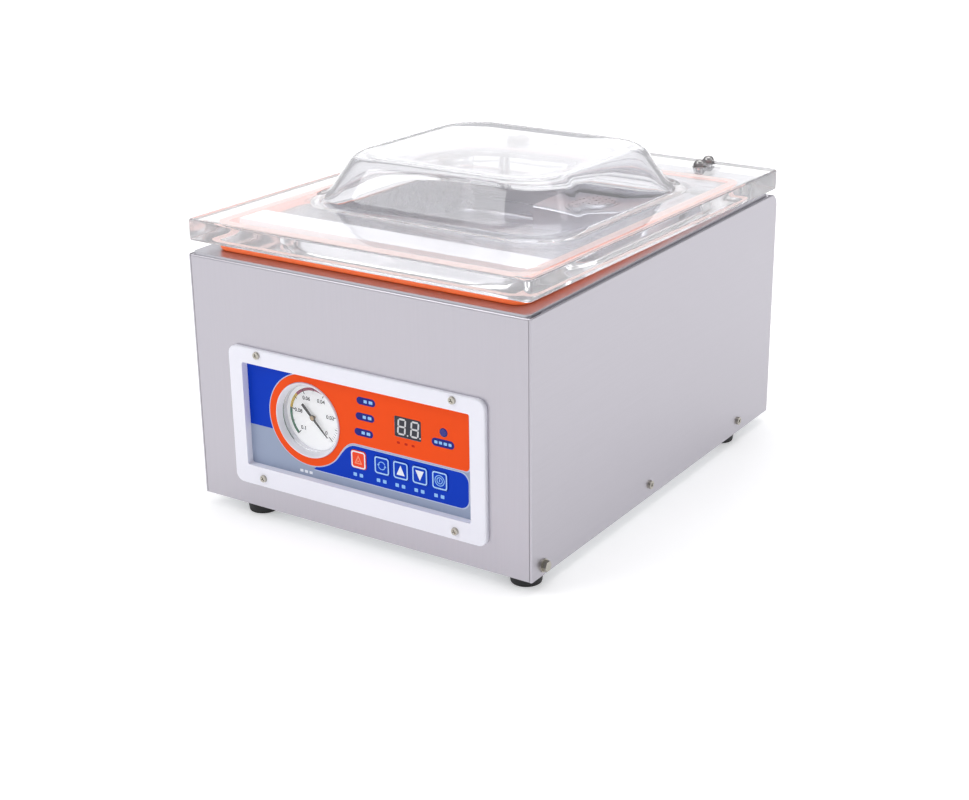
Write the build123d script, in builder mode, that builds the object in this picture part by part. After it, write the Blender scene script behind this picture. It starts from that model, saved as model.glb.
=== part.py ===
from build123d import *
import os
from math import sin, cos, tan, radians

# ---------------------------------------------------------------------------
# Table-top vacuum chamber sealer.
# Casing coordinates used below: x to the right, y from the front face towards
# the rear, z up from the casing's bottom edge.  The part's origin is in the
# middle of the footprint, at the level of the feet's undersides.
# ---------------------------------------------------------------------------

os.makedirs("parts", exist_ok=True)

# ---- driving dimensions (millimetres) ----
W = 330.0            # casing width
D = 427.0            # casing depth
H = 213.0            # casing height, bottom edge to top edge
HX = W / 2
T = 1.2              # cover sheet
TB = 1.5             # base tray sheet
TD = 2.0             # deck sheet
FOOT_H = 11.0        # rubber feet
YS = 213.0           # origin behind the front face
ZS = FOOT_H          # origin below the casing's bottom edge
REAR_R = 12.0        # rounded rear top corner
PX = 162.7           # half width of the front and rear panels

# lid
TILT = 1.11          # the lid stands this much higher in front, on its gasket
LID_HX = 164.1
LID_L = 429.9
LID_T = 17.7
LID_Y = -1.3         # front lower edge
LID_Z = H + 12.0
# dome of the lid
DOME_S = 217.3       # centre of the dome, from the lid's front edge
DOME_AX = 105.0      # half sizes of the dome's top
DOME_AY = 102.0
DOME_H = 40.8        # above the plate's upper face
DOME_TAPER = 28.0
DOME_R = 50.0        # corner radius at the foot
DOME_W = 4.5         # wall
DOME_FOOT = 9.0      # concave fillet round the foot

# chamber
CH_X = 141.0
CH_Y0, CH_Y1 = 23.0, 373.0
CH_R = 14.0
CH_DEPTH = 45.0      # below the casing's top edge
CH_T = 1.5
GK_X = 150.0         # gasket, outer half width
GK_Y0, GK_Y1 = 14.0, 382.0
GK_W = 8.0

# seal bar
SB_Y = 52.0
SB_W = 14.0
SB_L = 262.0
SB_TOP = H - 8.4
SB_H = 29.0
PIN_X = 92.0

# hinges
HG_Y, HG_Z = 417.0, H - 8.0
HG_X = 100.0
HG_PIN_R = 3.0
NUT_S = (398.3, 416.3)

# control panel
BZ_X, BZ_Z0, BZ_Z1 = 126.0, 21.0, 142.8
WN_X, WN_Z0, WN_Z1 = 112.0, 38.5, 129.5
OV_Y = 3.0           # front face of the printed panel, behind the casing's front face
OV_T = 1.5
GA_X, GA_Z = -50.5, 88.5
KEYS = {"key_stop": 0.3, "key_set": 23.6, "key_up": 42.0, "key_down": 60.5, "key_start": 79.5}
KEY_Z = 65.3
KEY_W, KEY_H = 15.0, 15.6
DS_X, DS_Z, DS_W, DS_H = 49.7, 102.5, 25.0, 17.0   # display
LN_X, LN_Z = 83.7, 106.4                            # indicator lens
BZ_SCREWS = [(-95.4, 138.0), (96.8, 138.0), (-95.6, 29.0), (97.2, 28.8)]

# side cover screws (y, z)
SIDE_SCREWS = [(17.9, 8.0), (190.7, 11.0), (361.8, 11.0)]
FEET = [(147.0, 21.0), (-116.0, 18.0), (147.0, 362.0), (-116.0, 362.0)]

# drive unit
MOT_Y, MOT_Z, MOT_R = 255.0, 74.0, 52.0
SHAFT_R = 6.0


def top(z):
    """Horizontal plane at casing height z; local x, y are the casing's."""
    return Plane(origin=(0, -YS, z + ZS), x_dir=(1, 0, 0), z_dir=(0, 0, 1))


def side(x):
    """Upright plane at x; local x, y are the casing's y, z; extrudes to +X."""
    return Plane(origin=(x, -YS, ZS), x_dir=(0, 1, 0), z_dir=(1, 0, 0))


def front(y):
    """Upright plane at y; local x, y are the casing's x, z; extrudes to the front."""
    return Plane(origin=(0, y - YS, ZS), x_dir=(1, 0, 0), z_dir=(0, -1, 0))


def lidp(h):
    """Plane of the lid, h above its underside; local y runs from the front edge."""
    t = radians(TILT)
    return Plane(origin=(0, LID_Y - YS + h * sin(t), LID_Z + ZS + h * cos(t)),
                 x_dir=(1, 0, 0), z_dir=(0, sin(t), cos(t)))


# ============================ casing =======================================

with BuildPart() as base_plate:
    with BuildSketch(top(0)):
        with Locations((0, D / 2)):
            Rectangle(2 * 163.6, D - 3.0)
    extrude(amount=TB)
    for sx in (-1, 1):
        with BuildSketch(top(TB)):
            with Locations((sx * (163.6 - TB / 2), D / 2)):
                Rectangle(TB, D - 3.0)
        extrude(amount=20.0)
    with BuildSketch(top(-1)):
        with Locations((-60, 120)):
            with GridLocations(11, 0, 8, 1):
                SlotOverall(60, 5, rotation=90)
        with Locations((-60, 340)):
            with GridLocations(11, 0, 8, 1):
                SlotOverall(60, 5, rotation=90)
        with Locations(*FEET):
            Circle(2.6)
    extrude(amount=TB + 2, mode=Mode.SUBTRACT)
    with BuildSketch(side(-HX - 1)):
        with Locations(*SIDE_SCREWS):
            Circle(2.05)
    extrude(amount=W + 2, mode=Mode.SUBTRACT)
base_plate.part.label = "base_plate"
export_step(base_plate.part, "parts/base_plate.step")

with BuildPart() as front_panel:
    with BuildSketch(side(-PX)):
        with BuildLine():
            Polyline((0, 0.2), (0, H), (16, H), (16, H - T), (T, H - T), (T, 0.2), close=True)
        make_face()
    extrude(amount=2 * PX)
    fillet(front_panel.edges().filter_by(Axis.X).group_by(Axis.Z)[-1].sort_by(Axis.Y)[0], radius=1.9)
    with BuildSketch(front(-1)):
        with Locations((0, (36.0 + 132.0) / 2)):
            Rectangle(230.0, 96.0)
        with Locations(*BZ_SCREWS):
            Circle(1.8)
    extrude(amount=-4, mode=Mode.SUBTRACT)
front_panel.part.label = "front_panel"
export_step(front_panel.part, "parts/front_panel.step")

with BuildPart() as right_side_cover:
    with BuildSketch(side(HX - T)):
        with BuildLine():
            Line((0, 0), (D, 0))
            Line((D, 0), (D, H - REAR_R))
            RadiusArc((D, H - REAR_R), (D - REAR_R, H), -REAR_R)
            Line((D - REAR_R, H), (0, H))
            Line((0, H), (0, 0))
        make_face()
    extrude(amount=T)
    with BuildSketch(side(163.1)):
        with Locations((T / 2, H / 2)):
            Rectangle(T, H)
        with Locations((D - T / 2, (H - 14) / 2)):
            Rectangle(T, H - 14)
    extrude(amount=HX - T - 163.1 + 0.2)
    with BuildSketch(side(157.0)):
        with Locations(((17 + D - 16.5) / 2, H - T / 2)):
            Rectangle(D - 33.5, T)
    extrude(amount=HX - T - 157.0 + 0.2)
    fillet(right_side_cover.edges().filter_by(Axis.Y).group_by(Axis.X)[-1].sort_by(Axis.Z)[-1], radius=1.0)
    fillet(right_side_cover.edges().filter_by(Axis.Z).group_by(Axis.X)[-1].sort_by(Axis.Y)[0], radius=1.0)
    with BuildSketch(side(150)):
        with Locations(*SIDE_SCREWS):
            Circle(2.1)
    extrude(amount=20, mode=Mode.SUBTRACT)
right_side_cover.part.label = "right_side_cover"
export_step(right_side_cover.part, "parts/right_side_cover.step")

with BuildPart() as left_side_cover:
    mirror(right_side_cover.part, about=Plane.YZ)
left_side_cover.part.label = "left_side_cover"
export_step(left_side_cover.part, "parts/left_side_cover.step")

# rear panel with the rounded top bend, vents and cut-outs
IN_X, IN_Z = 112.0, 42.0      # power inlet
SW_X, SW_Z = 62.0, 42.0       # mains rocker switch
FU_X, FU_Z = 112.0, 88.0      # fuse holder
EX_X, EX_Z = -70.0, 60.0      # exhaust outlet
R_SCREWS = [(-150.0, 14.0), (150.0, 14.0), (-150.0, 150.0), (150.0, 150.0)]
BK_SCREWS = [(sx * HG_X + dx, H - 42.0) for sx in (-1, 1) for dx in (-12.0, 12.0)]

with BuildPart() as rear_panel:
    with BuildSketch(side(-PX)):
        with BuildLine():
            Line((D, 0.2), (D, H - REAR_R))
            RadiusArc((D, H - REAR_R), (D - REAR_R, H), -REAR_R)
            Line((D - REAR_R, H), (D - 16, H))
            Line((D - 16, H), (D - 16, H - T))
            Line((D - 16, H - T), (D - REAR_R, H - T))
            RadiusArc((D - REAR_R, H - T), (D - T, H - REAR_R), REAR_R - T)
            Line((D - T, H - REAR_R), (D - T, 0.2))
            Line((D - T, 0.2), (D, 0.2))
        make_face()
    extrude(amount=2 * PX)
    with BuildSketch(top(H - 18)):
        with Locations((-HG_X, D - 8), (HG_X, D - 8)):
            Rectangle(26, 24)
    extrude(amount=24, mode=Mode.SUBTRACT)
    with BuildSketch(front(D + 1)):
        with Locations((-75, 125)):
            with GridLocations(0, 9.0, 1, 6):
                SlotOverall(86, 4)
        with Locations((75, 125)):
            with GridLocations(0, 9.0, 1, 3):
                SlotOverall(86, 4)
        with Locations((IN_X, IN_Z)):
            Rectangle(28, 21)
        with Locations((SW_X, SW_Z)):
            Rectangle(28, 20)
        with Locations((FU_X, FU_Z)):
            Circle(6.1)
        with Locations((EX_X, EX_Z)):
            Circle(9.1)
        with Locations(*R_SCREWS):
            Circle(1.8)
        with Locations(*BK_SCREWS):
            Circle(1.8)
    extrude(amount=4, mode=Mode.SUBTRACT)
rear_panel.part.label = "rear_panel"
export_step(rear_panel.part, "parts/rear_panel.step")

# deck: the flat plate round the chamber's mouth
with BuildPart() as deck:
    with BuildSketch(top(H)):
        with Locations((0, (1.0 + 412.0) / 2)):
            RectangleRounded(2 * 162.0, 411.0, 5.0)
        with Locations((0, (CH_Y0 + CH_Y1) / 2)):
            RectangleRounded(2 * CH_X, CH_Y1 - CH_Y0, CH_R, mode=Mode.SUBTRACT)
        with Locations((-HG_X, 402), (HG_X, 402)):
            Rectangle(26, 32, mode=Mode.SUBTRACT)
    extrude(amount=TD)
    fillet(deck.faces().sort_by(Axis.Z)[-1].inner_wires()[0].edges(), radius=0.9)
deck.part.label = "deck"
export_step(deck.part, "parts/deck.step")

# chamber: welded pan hanging under the deck
with BuildPart() as bowl_hollow:
    with BuildSketch(top(H - CH_DEPTH)):
        with Locations((0, (CH_Y0 + CH_Y1) / 2)):
            RectangleRounded(2 * CH_X, CH_Y1 - CH_Y0, CH_R)
    extrude(amount=CH_DEPTH + 5)
    fillet(bowl_hollow.faces().sort_by(Axis.Z)[0].edges(), radius=3.0)

with BuildPart() as chamber_bowl:
    with BuildSketch(top(H - CH_DEPTH - CH_T)):
        with Locations((0, (CH_Y0 + CH_Y1) / 2)):
            RectangleRounded(2 * (CH_X + CH_T), CH_Y1 - CH_Y0 + 2 * CH_T, CH_R + CH_T)
    extrude(amount=CH_DEPTH + CH_T)
    with BuildSketch(top(H - CH_T)):
        with Locations((0, (17.0 + 380.0) / 2)):
            RectangleRounded(2 * 149.0, 363.0, 12.0)
    extrude(amount=CH_T)
    fillet(chamber_bowl.faces().sort_by(Axis.Z)[0].edges(), radius=4.5)
    add(bowl_hollow.part, mode=Mode.SUBTRACT)
    with BuildSketch(top(H - CH_DEPTH - 3)):
        with Locations((-PIN_X, SB_Y), (PIN_X, SB_Y)):
            Circle(3.0)
        with Locations((0, SB_Y)):
            Circle(3.0)
        with Locations((-122, SB_Y), (122, SB_Y)):
            Circle(4.0)
    extrude(amount=8, mode=Mode.SUBTRACT)
    # welded suction spigot under the floor
    with BuildSketch(top(H - CH_DEPTH - CH_T)):
        with Locations((70, 340)):
            Circle(5.3)
    extrude(amount=-18.5)
    with BuildSketch(top(H - CH_DEPTH + 1)):
        with Locations((70, 340)):
            Circle(3.8)
    extrude(amount=-24, mode=Mode.SUBTRACT)
chamber_bowl.part.label = "chamber_bowl"
export_step(chamber_bowl.part, "parts/chamber_bowl.step")

# folded cover over the suction port, at the chamber's rear right
SX0, SX1, SY0, SY1 = -22.0, 134.0, 306.0, 366.0
SZ = H - 10.0
ST_X, ST_Y, ST_R = 24.0, 337.0, 22.0
with BuildPart() as suction_box:
    with BuildSketch(top(H - CH_DEPTH)):
        with Locations(((SX0 + SX1) / 2, (SY0 + SY1) / 2)):
            Rectangle(SX1 - SX0, SY1 - SY0)
    extrude(amount=SZ - (H - CH_DEPTH))
    fillet(suction_box.faces().sort_by(Axis.Z)[-1].edges().filter_by(Axis.X).sort_by(Axis.Y)[0], radius=3.0)
    with BuildSketch(top(H - CH_DEPTH)):
        with Locations(((SX0 + T + SX1) / 2, (SY0 + T + SY1) / 2)):
            Rectangle(SX1 - SX0 - T, SY1 - SY0 - T)
    extrude(amount=SZ - (H - CH_DEPTH) - T, mode=Mode.SUBTRACT)
    with BuildSketch(top(SZ - 3)):
        with Locations((ST_X, ST_Y)):
            Circle(17.0)
    extrude(amount=6, mode=Mode.SUBTRACT)
suction_box.part.label = "suction_box"
export_step(suction_box.part, "parts/suction_box.step")

with BuildPart() as suction_strainer:
    with BuildSketch(Plane(origin=(ST_X, ST_Y - YS, SZ + ZS), x_dir=(1, 0, 0), z_dir=(0, -1, 0))):
        with BuildLine():
            Polyline((0, 1.8), (16.0, 1.8), (18.0, 0.0), (22.0, 0.0), (22.0, 1.0), (18.6, 1.0), (16.6, 3.0), (0, 3.0), close=True)
        make_face()
    revolve(axis=Axis((ST_X, ST_Y - YS, 0), (0, 0, 1)))
    with BuildSketch(top(SZ - 1)):
        with Locations(*[(ST_X + 6.6 * i, ST_Y + 6.6 * j) for i in range(-2, 3) for j in range(-2, 3) if i * i + j * j <= 5]):
            Circle(1.35)
    extrude(amount=6, mode=Mode.SUBTRACT)
suction_strainer.part.label = "suction_strainer"
export_step(suction_strainer.part, "parts/suction_strainer.step")

with BuildPart() as rubber_feet:
    with Locations(*[(x, y - YS, ZS - FOOT_H / 2) for x, y in FEET]):
        Cone(bottom_radius=12.4, top_radius=14.0, height=FOOT_H)
    fillet(rubber_feet.faces().filter_by(Axis.Z).group_by(Axis.Z)[0].edges(), radius=1.0)
    with Locations(*[(x, y - YS, ZS - FOOT_H / 2) for x, y in FEET]):
        Cylinder(2.6, FOOT_H + 2, mode=Mode.SUBTRACT)
    with Locations(*[(x, y - YS, ZS - FOOT_H + 2.9) for x, y in FEET]):
        Cylinder(5.2, 6.0, mode=Mode.SUBTRACT)
rubber_feet.part.label = "rubber_feet"
export_step(rubber_feet.part, "parts/rubber_feet.step")

with BuildPart() as foot_screws:
    with Locations(*[(x, y - YS, ZS + 0.5) for x, y in FEET]):
        Cylinder(2.5, 11.2)
    with Locations(*[(x, y - YS, ZS - FOOT_H + 5.9 - 1.4) for x, y in FEET]):
        Cylinder(4.5, 2.8)
    with BuildSketch(top(TB)):
        with Locations(*FEET):
            RegularPolygon(4.6, 6)
    extrude(amount=3.6)
foot_screws.part.label = "foot_screws"
export_step(foot_screws.part, "parts/foot_screws.step")

with BuildPart() as side_cover_screws:
    for sx in (-1, 1):
        for i, (y, z) in enumerate(SIDE_SCREWS):
            with BuildSketch(Plane(origin=(sx * (HX - 5.5), y - YS, z + ZS), x_dir=(0, 1, 0), z_dir=(sx, 0, 0))):
                Circle(2.0)
            extrude(amount=6.5)
            if i == 0:
                with BuildSketch(Plane(origin=(sx * HX, y - YS, z + ZS), x_dir=(0, 1, 0), z_dir=(sx, 0, 0))):
                    Circle(5.6)
                extrude(amount=0.9)
                with BuildSketch(Plane(origin=(sx * (HX + 0.9), y - YS, z + ZS), x_dir=(0, 1, 0), z_dir=(sx, 0, 0))):
                    RegularPolygon(4.6, 6)
                extrude(amount=3.3)
            else:
                with BuildSketch(Plane(origin=(sx * HX, y - YS, z + ZS), x_dir=(0, 1, 0), z_dir=(sx, 0, 0))):
                    Circle(3.6)
                extrude(amount=2.0)
                with BuildSketch(Plane(origin=(sx * (HX + 2.0), y - YS, z + ZS), x_dir=(0, 1, 0), z_dir=(sx, 0, 0))):
                    Rectangle(4.2, 0.9, rotation=30)
                    Rectangle(0.9, 4.2, rotation=30)
                extrude(amount=-1.1, mode=Mode.SUBTRACT)
side_cover_screws.part.label = "side_cover_screws"
export_step(side_cover_screws.part, "parts/side_cover_screws.step")

with BuildPart() as rear_screws:
    for x, z in R_SCREWS + BK_SCREWS:
        with BuildSketch(front(D)):
            with Locations((x, z)):
                Circle(3.4)
        extrude(amount=-2.0)
        with BuildSketch(front(D + 2.0)):
            with Locations((x, z)):
                Rectangle(4.0, 0.9, rotation=20)
                Rectangle(0.9, 4.0, rotation=20)
        extrude(amount=1.1, mode=Mode.SUBTRACT)
        with BuildSketch(front(D - 6.0)):
            with Locations((x, z)):
                Circle(1.75)
        extrude(amount=-6.5)
rear_screws.part.label = "rear_screws"
export_step(rear_screws.part, "parts/rear_screws.step")

# ============================ control panel ================================

with BuildPart() as control_bezel:
    with BuildSketch(front(0)):
        with Locations((0, (BZ_Z0 + BZ_Z1) / 2)):
            RectangleRounded(2 * BZ_X, BZ_Z1 - BZ_Z0, 8.0)
    extrude(amount=3.6)
    fillet(control_bezel.faces().sort_by(Axis.Y)[0].edges(), radius=1.4)
    with BuildSketch(front(OV_Y)):
        with Locations((0, (36.4 + 131.6) / 2)):
            Rectangle(2 * 114.6, 131.6 - 36.4)
    extrude(amount=OV_Y)
    with BuildSketch(front(OV_Y)):
        with Locations((0, (WN_Z0 + WN_Z1) / 2)):
            RectangleRounded(2 * WN_X, WN_Z1 - WN_Z0, 2.0)
    extrude(amount=12, mode=Mode.SUBTRACT)
    with BuildSketch(front(OV_Y)):
        with Locations(*BZ_SCREWS):
            Circle(1.8)
    extrude(amount=12, mode=Mode.SUBTRACT)
control_bezel.part.label = "control_bezel"
export_step(control_bezel.part, "parts/control_bezel.step")

with BuildPart() as bezel_screws:
    for x, z in BZ_SCREWS:
        with BuildSketch(front(-3.6)):
            with Locations((x, z)):
                Circle(3.3)
        extrude(amount=1.6, taper=12)
        with BuildSketch(front(-5.2)):
            with Locations((x, z)):
                Rectangle(3.8, 0.8, rotation=35)
                Rectangle(0.8, 3.8, rotation=35)
        extrude(amount=-1.0, mode=Mode.SUBTRACT)
        with BuildSketch(front(6.0)):
            with Locations((x, z)):
                Circle(1.75)
        extrude(amount=9.7)
bezel_screws.part.label = "bezel_screws"
export_step(bezel_screws.part, "parts/bezel_screws.step")

with BuildPart() as panel_overlay:
    with BuildSketch(front(OV_Y)):
        with Locations((0, (36.6 + 131.4) / 2)):
            Rectangle(2 * 114.2, 131.4 - 36.6)
        with Locations((GA_X, GA_Z)):
            Circle(30.8, mode=Mode.SUBTRACT)
        for kx in KEYS.values():
            with Locations((kx, KEY_Z)):
                RectangleRounded(KEY_W + 0.6, KEY_H + 0.6, 3.1, mode=Mode.SUBTRACT)
        with Locations((DS_X, DS_Z)):
            RectangleRounded(DS_W + 0.4, DS_H + 0.4, 1.2, mode=Mode.SUBTRACT)
        with Locations((LN_X, LN_Z)):
            Circle(3.7, mode=Mode.SUBTRACT)
    extrude(amount=-OV_T)
panel_overlay.part.label = "panel_overlay"
export_step(panel_overlay.part, "parts/panel_overlay.step")

with BuildPart() as key_stop:
    with BuildSketch(front(7.4)):
        with Locations((KEYS["key_stop"], KEY_Z)):
            RectangleRounded(KEY_W, KEY_H, 2.8)
    extrude(amount=7.4 - OV_Y + 0.8)
    fillet(key_stop.faces().sort_by(Axis.Y)[0].edges(), radius=0.5)
key_stop.part.label = "key_stop"
export_step(key_stop.part, "parts/key_stop.step")

with BuildPart() as key_set:
    with BuildSketch(front(7.4)):
        with Locations((KEYS["key_set"], KEY_Z)):
            RectangleRounded(KEY_W, KEY_H, 2.8)
    extrude(amount=7.4 - OV_Y + 0.8)
    fillet(key_set.faces().sort_by(Axis.Y)[0].edges(), radius=0.5)
key_set.part.label = "key_set"
export_step(key_set.part, "parts/key_set.step")

with BuildPart() as key_up:
    with BuildSketch(front(7.4)):
        with Locations((KEYS["key_up"], KEY_Z)):
            RectangleRounded(KEY_W, KEY_H, 2.8)
    extrude(amount=7.4 - OV_Y + 0.8)
    fillet(key_up.faces().sort_by(Axis.Y)[0].edges(), radius=0.5)
key_up.part.label = "key_up"
export_step(key_up.part, "parts/key_up.step")

with BuildPart() as key_down:
    with BuildSketch(front(7.4)):
        with Locations((KEYS["key_down"], KEY_Z)):
            RectangleRounded(KEY_W, KEY_H, 2.8)
    extrude(amount=7.4 - OV_Y + 0.8)
    fillet(key_down.faces().sort_by(Axis.Y)[0].edges(), radius=0.5)
key_down.part.label = "key_down"
export_step(key_down.part, "parts/key_down.step")

with BuildPart() as key_start:
    with BuildSketch(front(7.4)):
        with Locations((KEYS["key_start"], KEY_Z)):
            RectangleRounded(KEY_W, KEY_H, 2.8)
    extrude(amount=7.4 - OV_Y + 0.8)
    fillet(key_start.faces().sort_by(Axis.Y)[0].edges(), radius=0.5)
key_start.part.label = "key_start"
export_step(key_start.part, "parts/key_start.step")

with BuildPart() as display_module:
    with BuildSketch(front(12.0)):
        with Locations((DS_X, DS_Z)):
            RectangleRounded(DS_W, DS_H, 1.0)
    extrude(amount=12.0 - OV_Y - 0.4)
display_module.part.label = "display_module"
export_step(display_module.part, "parts/display_module.step")

with BuildPart() as indicator_lens:
    with BuildSketch(front(12.0)):
        with Locations((LN_X, LN_Z)):
            Circle(3.5)
    extrude(amount=12.0 - OV_Y + 0.5)
    fillet(indicator_lens.faces().sort_by(Axis.Y)[0].edges(), radius=0.9)
indicator_lens.part.label = "indicator_lens"
export_step(indicator_lens.part, "parts/indicator_lens.step")

BOARD_Y = 12.0
STANDOFFS = [(-5.0, 120.0), (106.0, 120.0), (-5.0, 44.0), (106.0, 44.0)]
with BuildPart() as control_board:
    with BuildSketch(front(BOARD_Y)):
        with Locations((50.5, 82.0)):
            RectangleRounded(123.0, 88.0, 2.0)
        with Locations(*STANDOFFS):
            Circle(1.6, mode=Mode.SUBTRACT)
    extrude(amount=-1.6)
    with BuildSketch(front(BOARD_Y + 1.6)):
        with Locations((25.0, 100.0)):
            Rectangle(16, 8)
        with Locations((60.0, 95.0)):
            Rectangle(22, 16)
        with Locations((92.0, 80.0)):
            Rectangle(19, 15)
    extrude(amount=-4.0)
    with BuildSketch(front(BOARD_Y + 1.6)):
        with Locations((15.0, 66.0), (34.0, 62.0)):
            Circle(5.0)
    extrude(amount=-12.0)
    with BuildSketch(front(BOARD_Y)):
        with Locations(*STANDOFFS):
            RegularPolygon(3.2, 6)
    extrude(amount=BOARD_Y - OV_Y - OV_T)
    for kx in KEYS.values():
        with BuildSketch(front(BOARD_Y)):
            with Locations((kx, KEY_Z)):
                Rectangle(6.0, 6.0)
        extrude(amount=3.0)
        with BuildSketch(front(BOARD_Y - 3.0)):
            with Locations((kx, KEY_Z)):
                Circle(1.6)
        extrude(amount=0.9)
control_board.part.label = "control_board"
export_step(control_board.part, "parts/control_board.step")

# ---- vacuum gauge ----
GP = Plane(origin=(GA_X, -YS, GA_Z + ZS), x_dir=(1, 0, 0), z_dir=(0, 0, 1))
G_AXIS = Axis((GA_X, -YS, GA_Z + ZS), (0, 1, 0))
with BuildPart() as gauge_case:
    with BuildSketch(GP):
        with BuildLine():
            Polyline((0, 28.0), (30.5, 28.0), (30.5, OV_Y), (32.4, OV_Y), (32.4, 2.1), (31.9, 1.5), (31.2, 1.5),
                     (28.7, 6.0), (28.7, 26.5), (0, 26.5), close=True)
        make_face()
    revolve(axis=G_AXIS)
gauge_case.part.label = "gauge_case"
export_step(gauge_case.part, "parts/gauge_case.step")

with BuildPart() as gauge_movement:
    with BuildSketch(front(26.5)):
        with Locations((GA_X, GA_Z)):
            Circle(12.0)
    extrude(amount=13.0)
    with BuildSketch(front(13.5)):
        with Locations((GA_X, GA_Z)):
            Circle(1.0)
    extrude(amount=4.8)
    with BuildSketch(front(34.0)):
        with Locations((GA_X, GA_Z)):
            RegularPolygon(8.0, 6)
    extrude(amount=6.0)
    with BuildSketch(front(44.0)):
        with Locations((GA_X, GA_Z)):
            Circle(4.0)
    extrude(amount=10.0)
gauge_movement.part.label = "gauge_movement"
export_step(gauge_movement.part, "parts/gauge_movement.step")

with BuildPart() as gauge_dial:
    with BuildSketch(front(13.0)):
        with Locations((GA_X, GA_Z)):
            Circle(28.5)
            Circle(1.3, mode=Mode.SUBTRACT)
    extrude(amount=0.8)
gauge_dial.part.label = "gauge_dial"
export_step(gauge_dial.part, "parts/gauge_dial.step")

with BuildPart() as gauge_glass:
    with BuildSketch(front(7.6)):
        with Locations((GA_X, GA_Z)):
            Circle(28.6)
    extrude(amount=1.4)
gauge_glass.part.label = "gauge_glass"
export_step(gauge_glass.part, "parts/gauge_glass.step")

# needle: thin pointer at the zero mark, lower right; broad tail opposite
ca, sa = cos(radians(-45)), sin(radians(-45))


def gpt(u, v):
    """u along the pointer, v across it, seen from the front."""
    return (GA_X + u * ca - v * sa, GA_Z + u * sa + v * ca)


with BuildPart() as gauge_needle:
    with BuildSketch(front(9.8)):
        with BuildLine():
            Polyline(gpt(0, 1.1), gpt(20.8, 0.3), gpt(20.8, -0.3), gpt(0, -1.1), gpt(-5, -1.1), gpt(-13.8, -1.3),
                     gpt(-14.6, -0.6), gpt(-14.6, 0.6), gpt(-13.8, 1.3), gpt(-5, 1.1), close=True)
        make_face()
        with Locations((GA_X, GA_Z)):
            Circle(2.6)
            Circle(1.05, mode=Mode.SUBTRACT)
    extrude(amount=0.6)
gauge_needle.part.label = "gauge_needle"
export_step(gauge_needle.part, "parts/gauge_needle.step")

# ============================ seal bar =====================================

with BuildPart() as seal_bar:
    with BuildSketch(side(-SB_L / 2)):
        with BuildLine():
            Polyline((SB_Y - SB_W / 2, SB_TOP - SB_H), (SB_Y + SB_W / 2, SB_TOP - SB_H), (SB_Y + SB_W / 2, SB_TOP - 1.5),
                     (SB_Y + SB_W / 2 - 1.5, SB_TOP), (SB_Y - SB_W / 2 + 1.5, SB_TOP), (SB_Y - SB_W / 2, SB_TOP - 1.5), close=True)
        make_face()
    extrude(amount=SB_L)
    with Locations((-PIN_X, SB_Y - YS, SB_TOP - SB_H + ZS + 10.5), (PIN_X, SB_Y - YS, SB_TOP - SB_H + ZS + 10.5)):
        Cylinder(4.05, 25.0, mode=Mode.SUBTRACT)
    with BuildSketch(side(-SB_L / 2 - 1)):
        with Locations((SB_Y - SB_W / 2, SB_TOP - 14), (SB_Y + SB_W / 2, SB_TOP - 14)):
            Rectangle(3.0, 5.0)
    extrude(amount=SB_L + 2, mode=Mode.SUBTRACT)
seal_bar.part.label = "seal_bar"
export_step(seal_bar.part, "parts/seal_bar.step")

with BuildPart() as heating_ribbon:
    with BuildSketch(top(SB_TOP)):
        with Locations((0, SB_Y)):
            Rectangle(SB_L + 6.0, 5.0)
    extrude(amount=0.25)
    for sx in (-1, 1):
        with Locations((sx * (SB_L / 2 + 2.0), SB_Y - YS, SB_TOP + ZS - 8.0)):
            Box(4.0, 9.0, 16.0)
        with Locations((sx * (SB_L / 2 + 4.8), SB_Y - YS, SB_TOP + ZS - 8.0)):
            Cylinder(2.4, 1.6, rotation=(0, 90, 0))
heating_ribbon.part.label = "heating_ribbon"
export_step(heating_ribbon.part, "parts/heating_ribbon.step")

with BuildPart() as release_tape:
    with BuildSketch(side(-SB_L / 2 + 2)):
        with Locations((SB_Y, SB_TOP + 0.125)):
            Rectangle(SB_W - 3.0, 0.85)
        with Locations((SB_Y, SB_TOP - 0.15)):
            Rectangle(SB_W, 0.9, mode=Mode.SUBTRACT)
    extrude(amount=SB_L - 4)
release_tape.part.label = "release_tape"
export_step(release_tape.part, "parts/release_tape.step")

with BuildPart() as seal_bar_guides:
    for sx in (-1, 1):
        with Locations((sx * PIN_X, SB_Y - YS, H - CH_DEPTH + ZS + 10.5)):
            Cylinder(4.0, 21.0)
        with Locations((sx * PIN_X, SB_Y - YS, H - CH_DEPTH + ZS - 3.0)):
            Cylinder(3.0, 6.0)
        with Locations((sx * PIN_X, SB_Y - YS, H - CH_DEPTH - CH_T + ZS - 2.5)):
            Cylinder(6.0, 3.0)
seal_bar_guides.part.label = "seal_bar_guides"
export_step(seal_bar_guides.part, "parts/seal_bar_guides.step")

with BuildPart() as air_bladder:
    with BuildSketch(side(-80.0)):
        with Locations((SB_Y, H - CH_DEPTH + 3.6)):
            RectangleRounded(22.0, 6.6, 3.2)
    extrude(amount=160.0)
    with Locations((0, SB_Y - YS, H - CH_DEPTH + ZS - 4.0)):
        Cylinder(2.9, 9.0)
air_bladder.part.label = "air_bladder"
export_step(air_bladder.part, "parts/air_bladder.step")

# ============================ lid ==========================================

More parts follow.
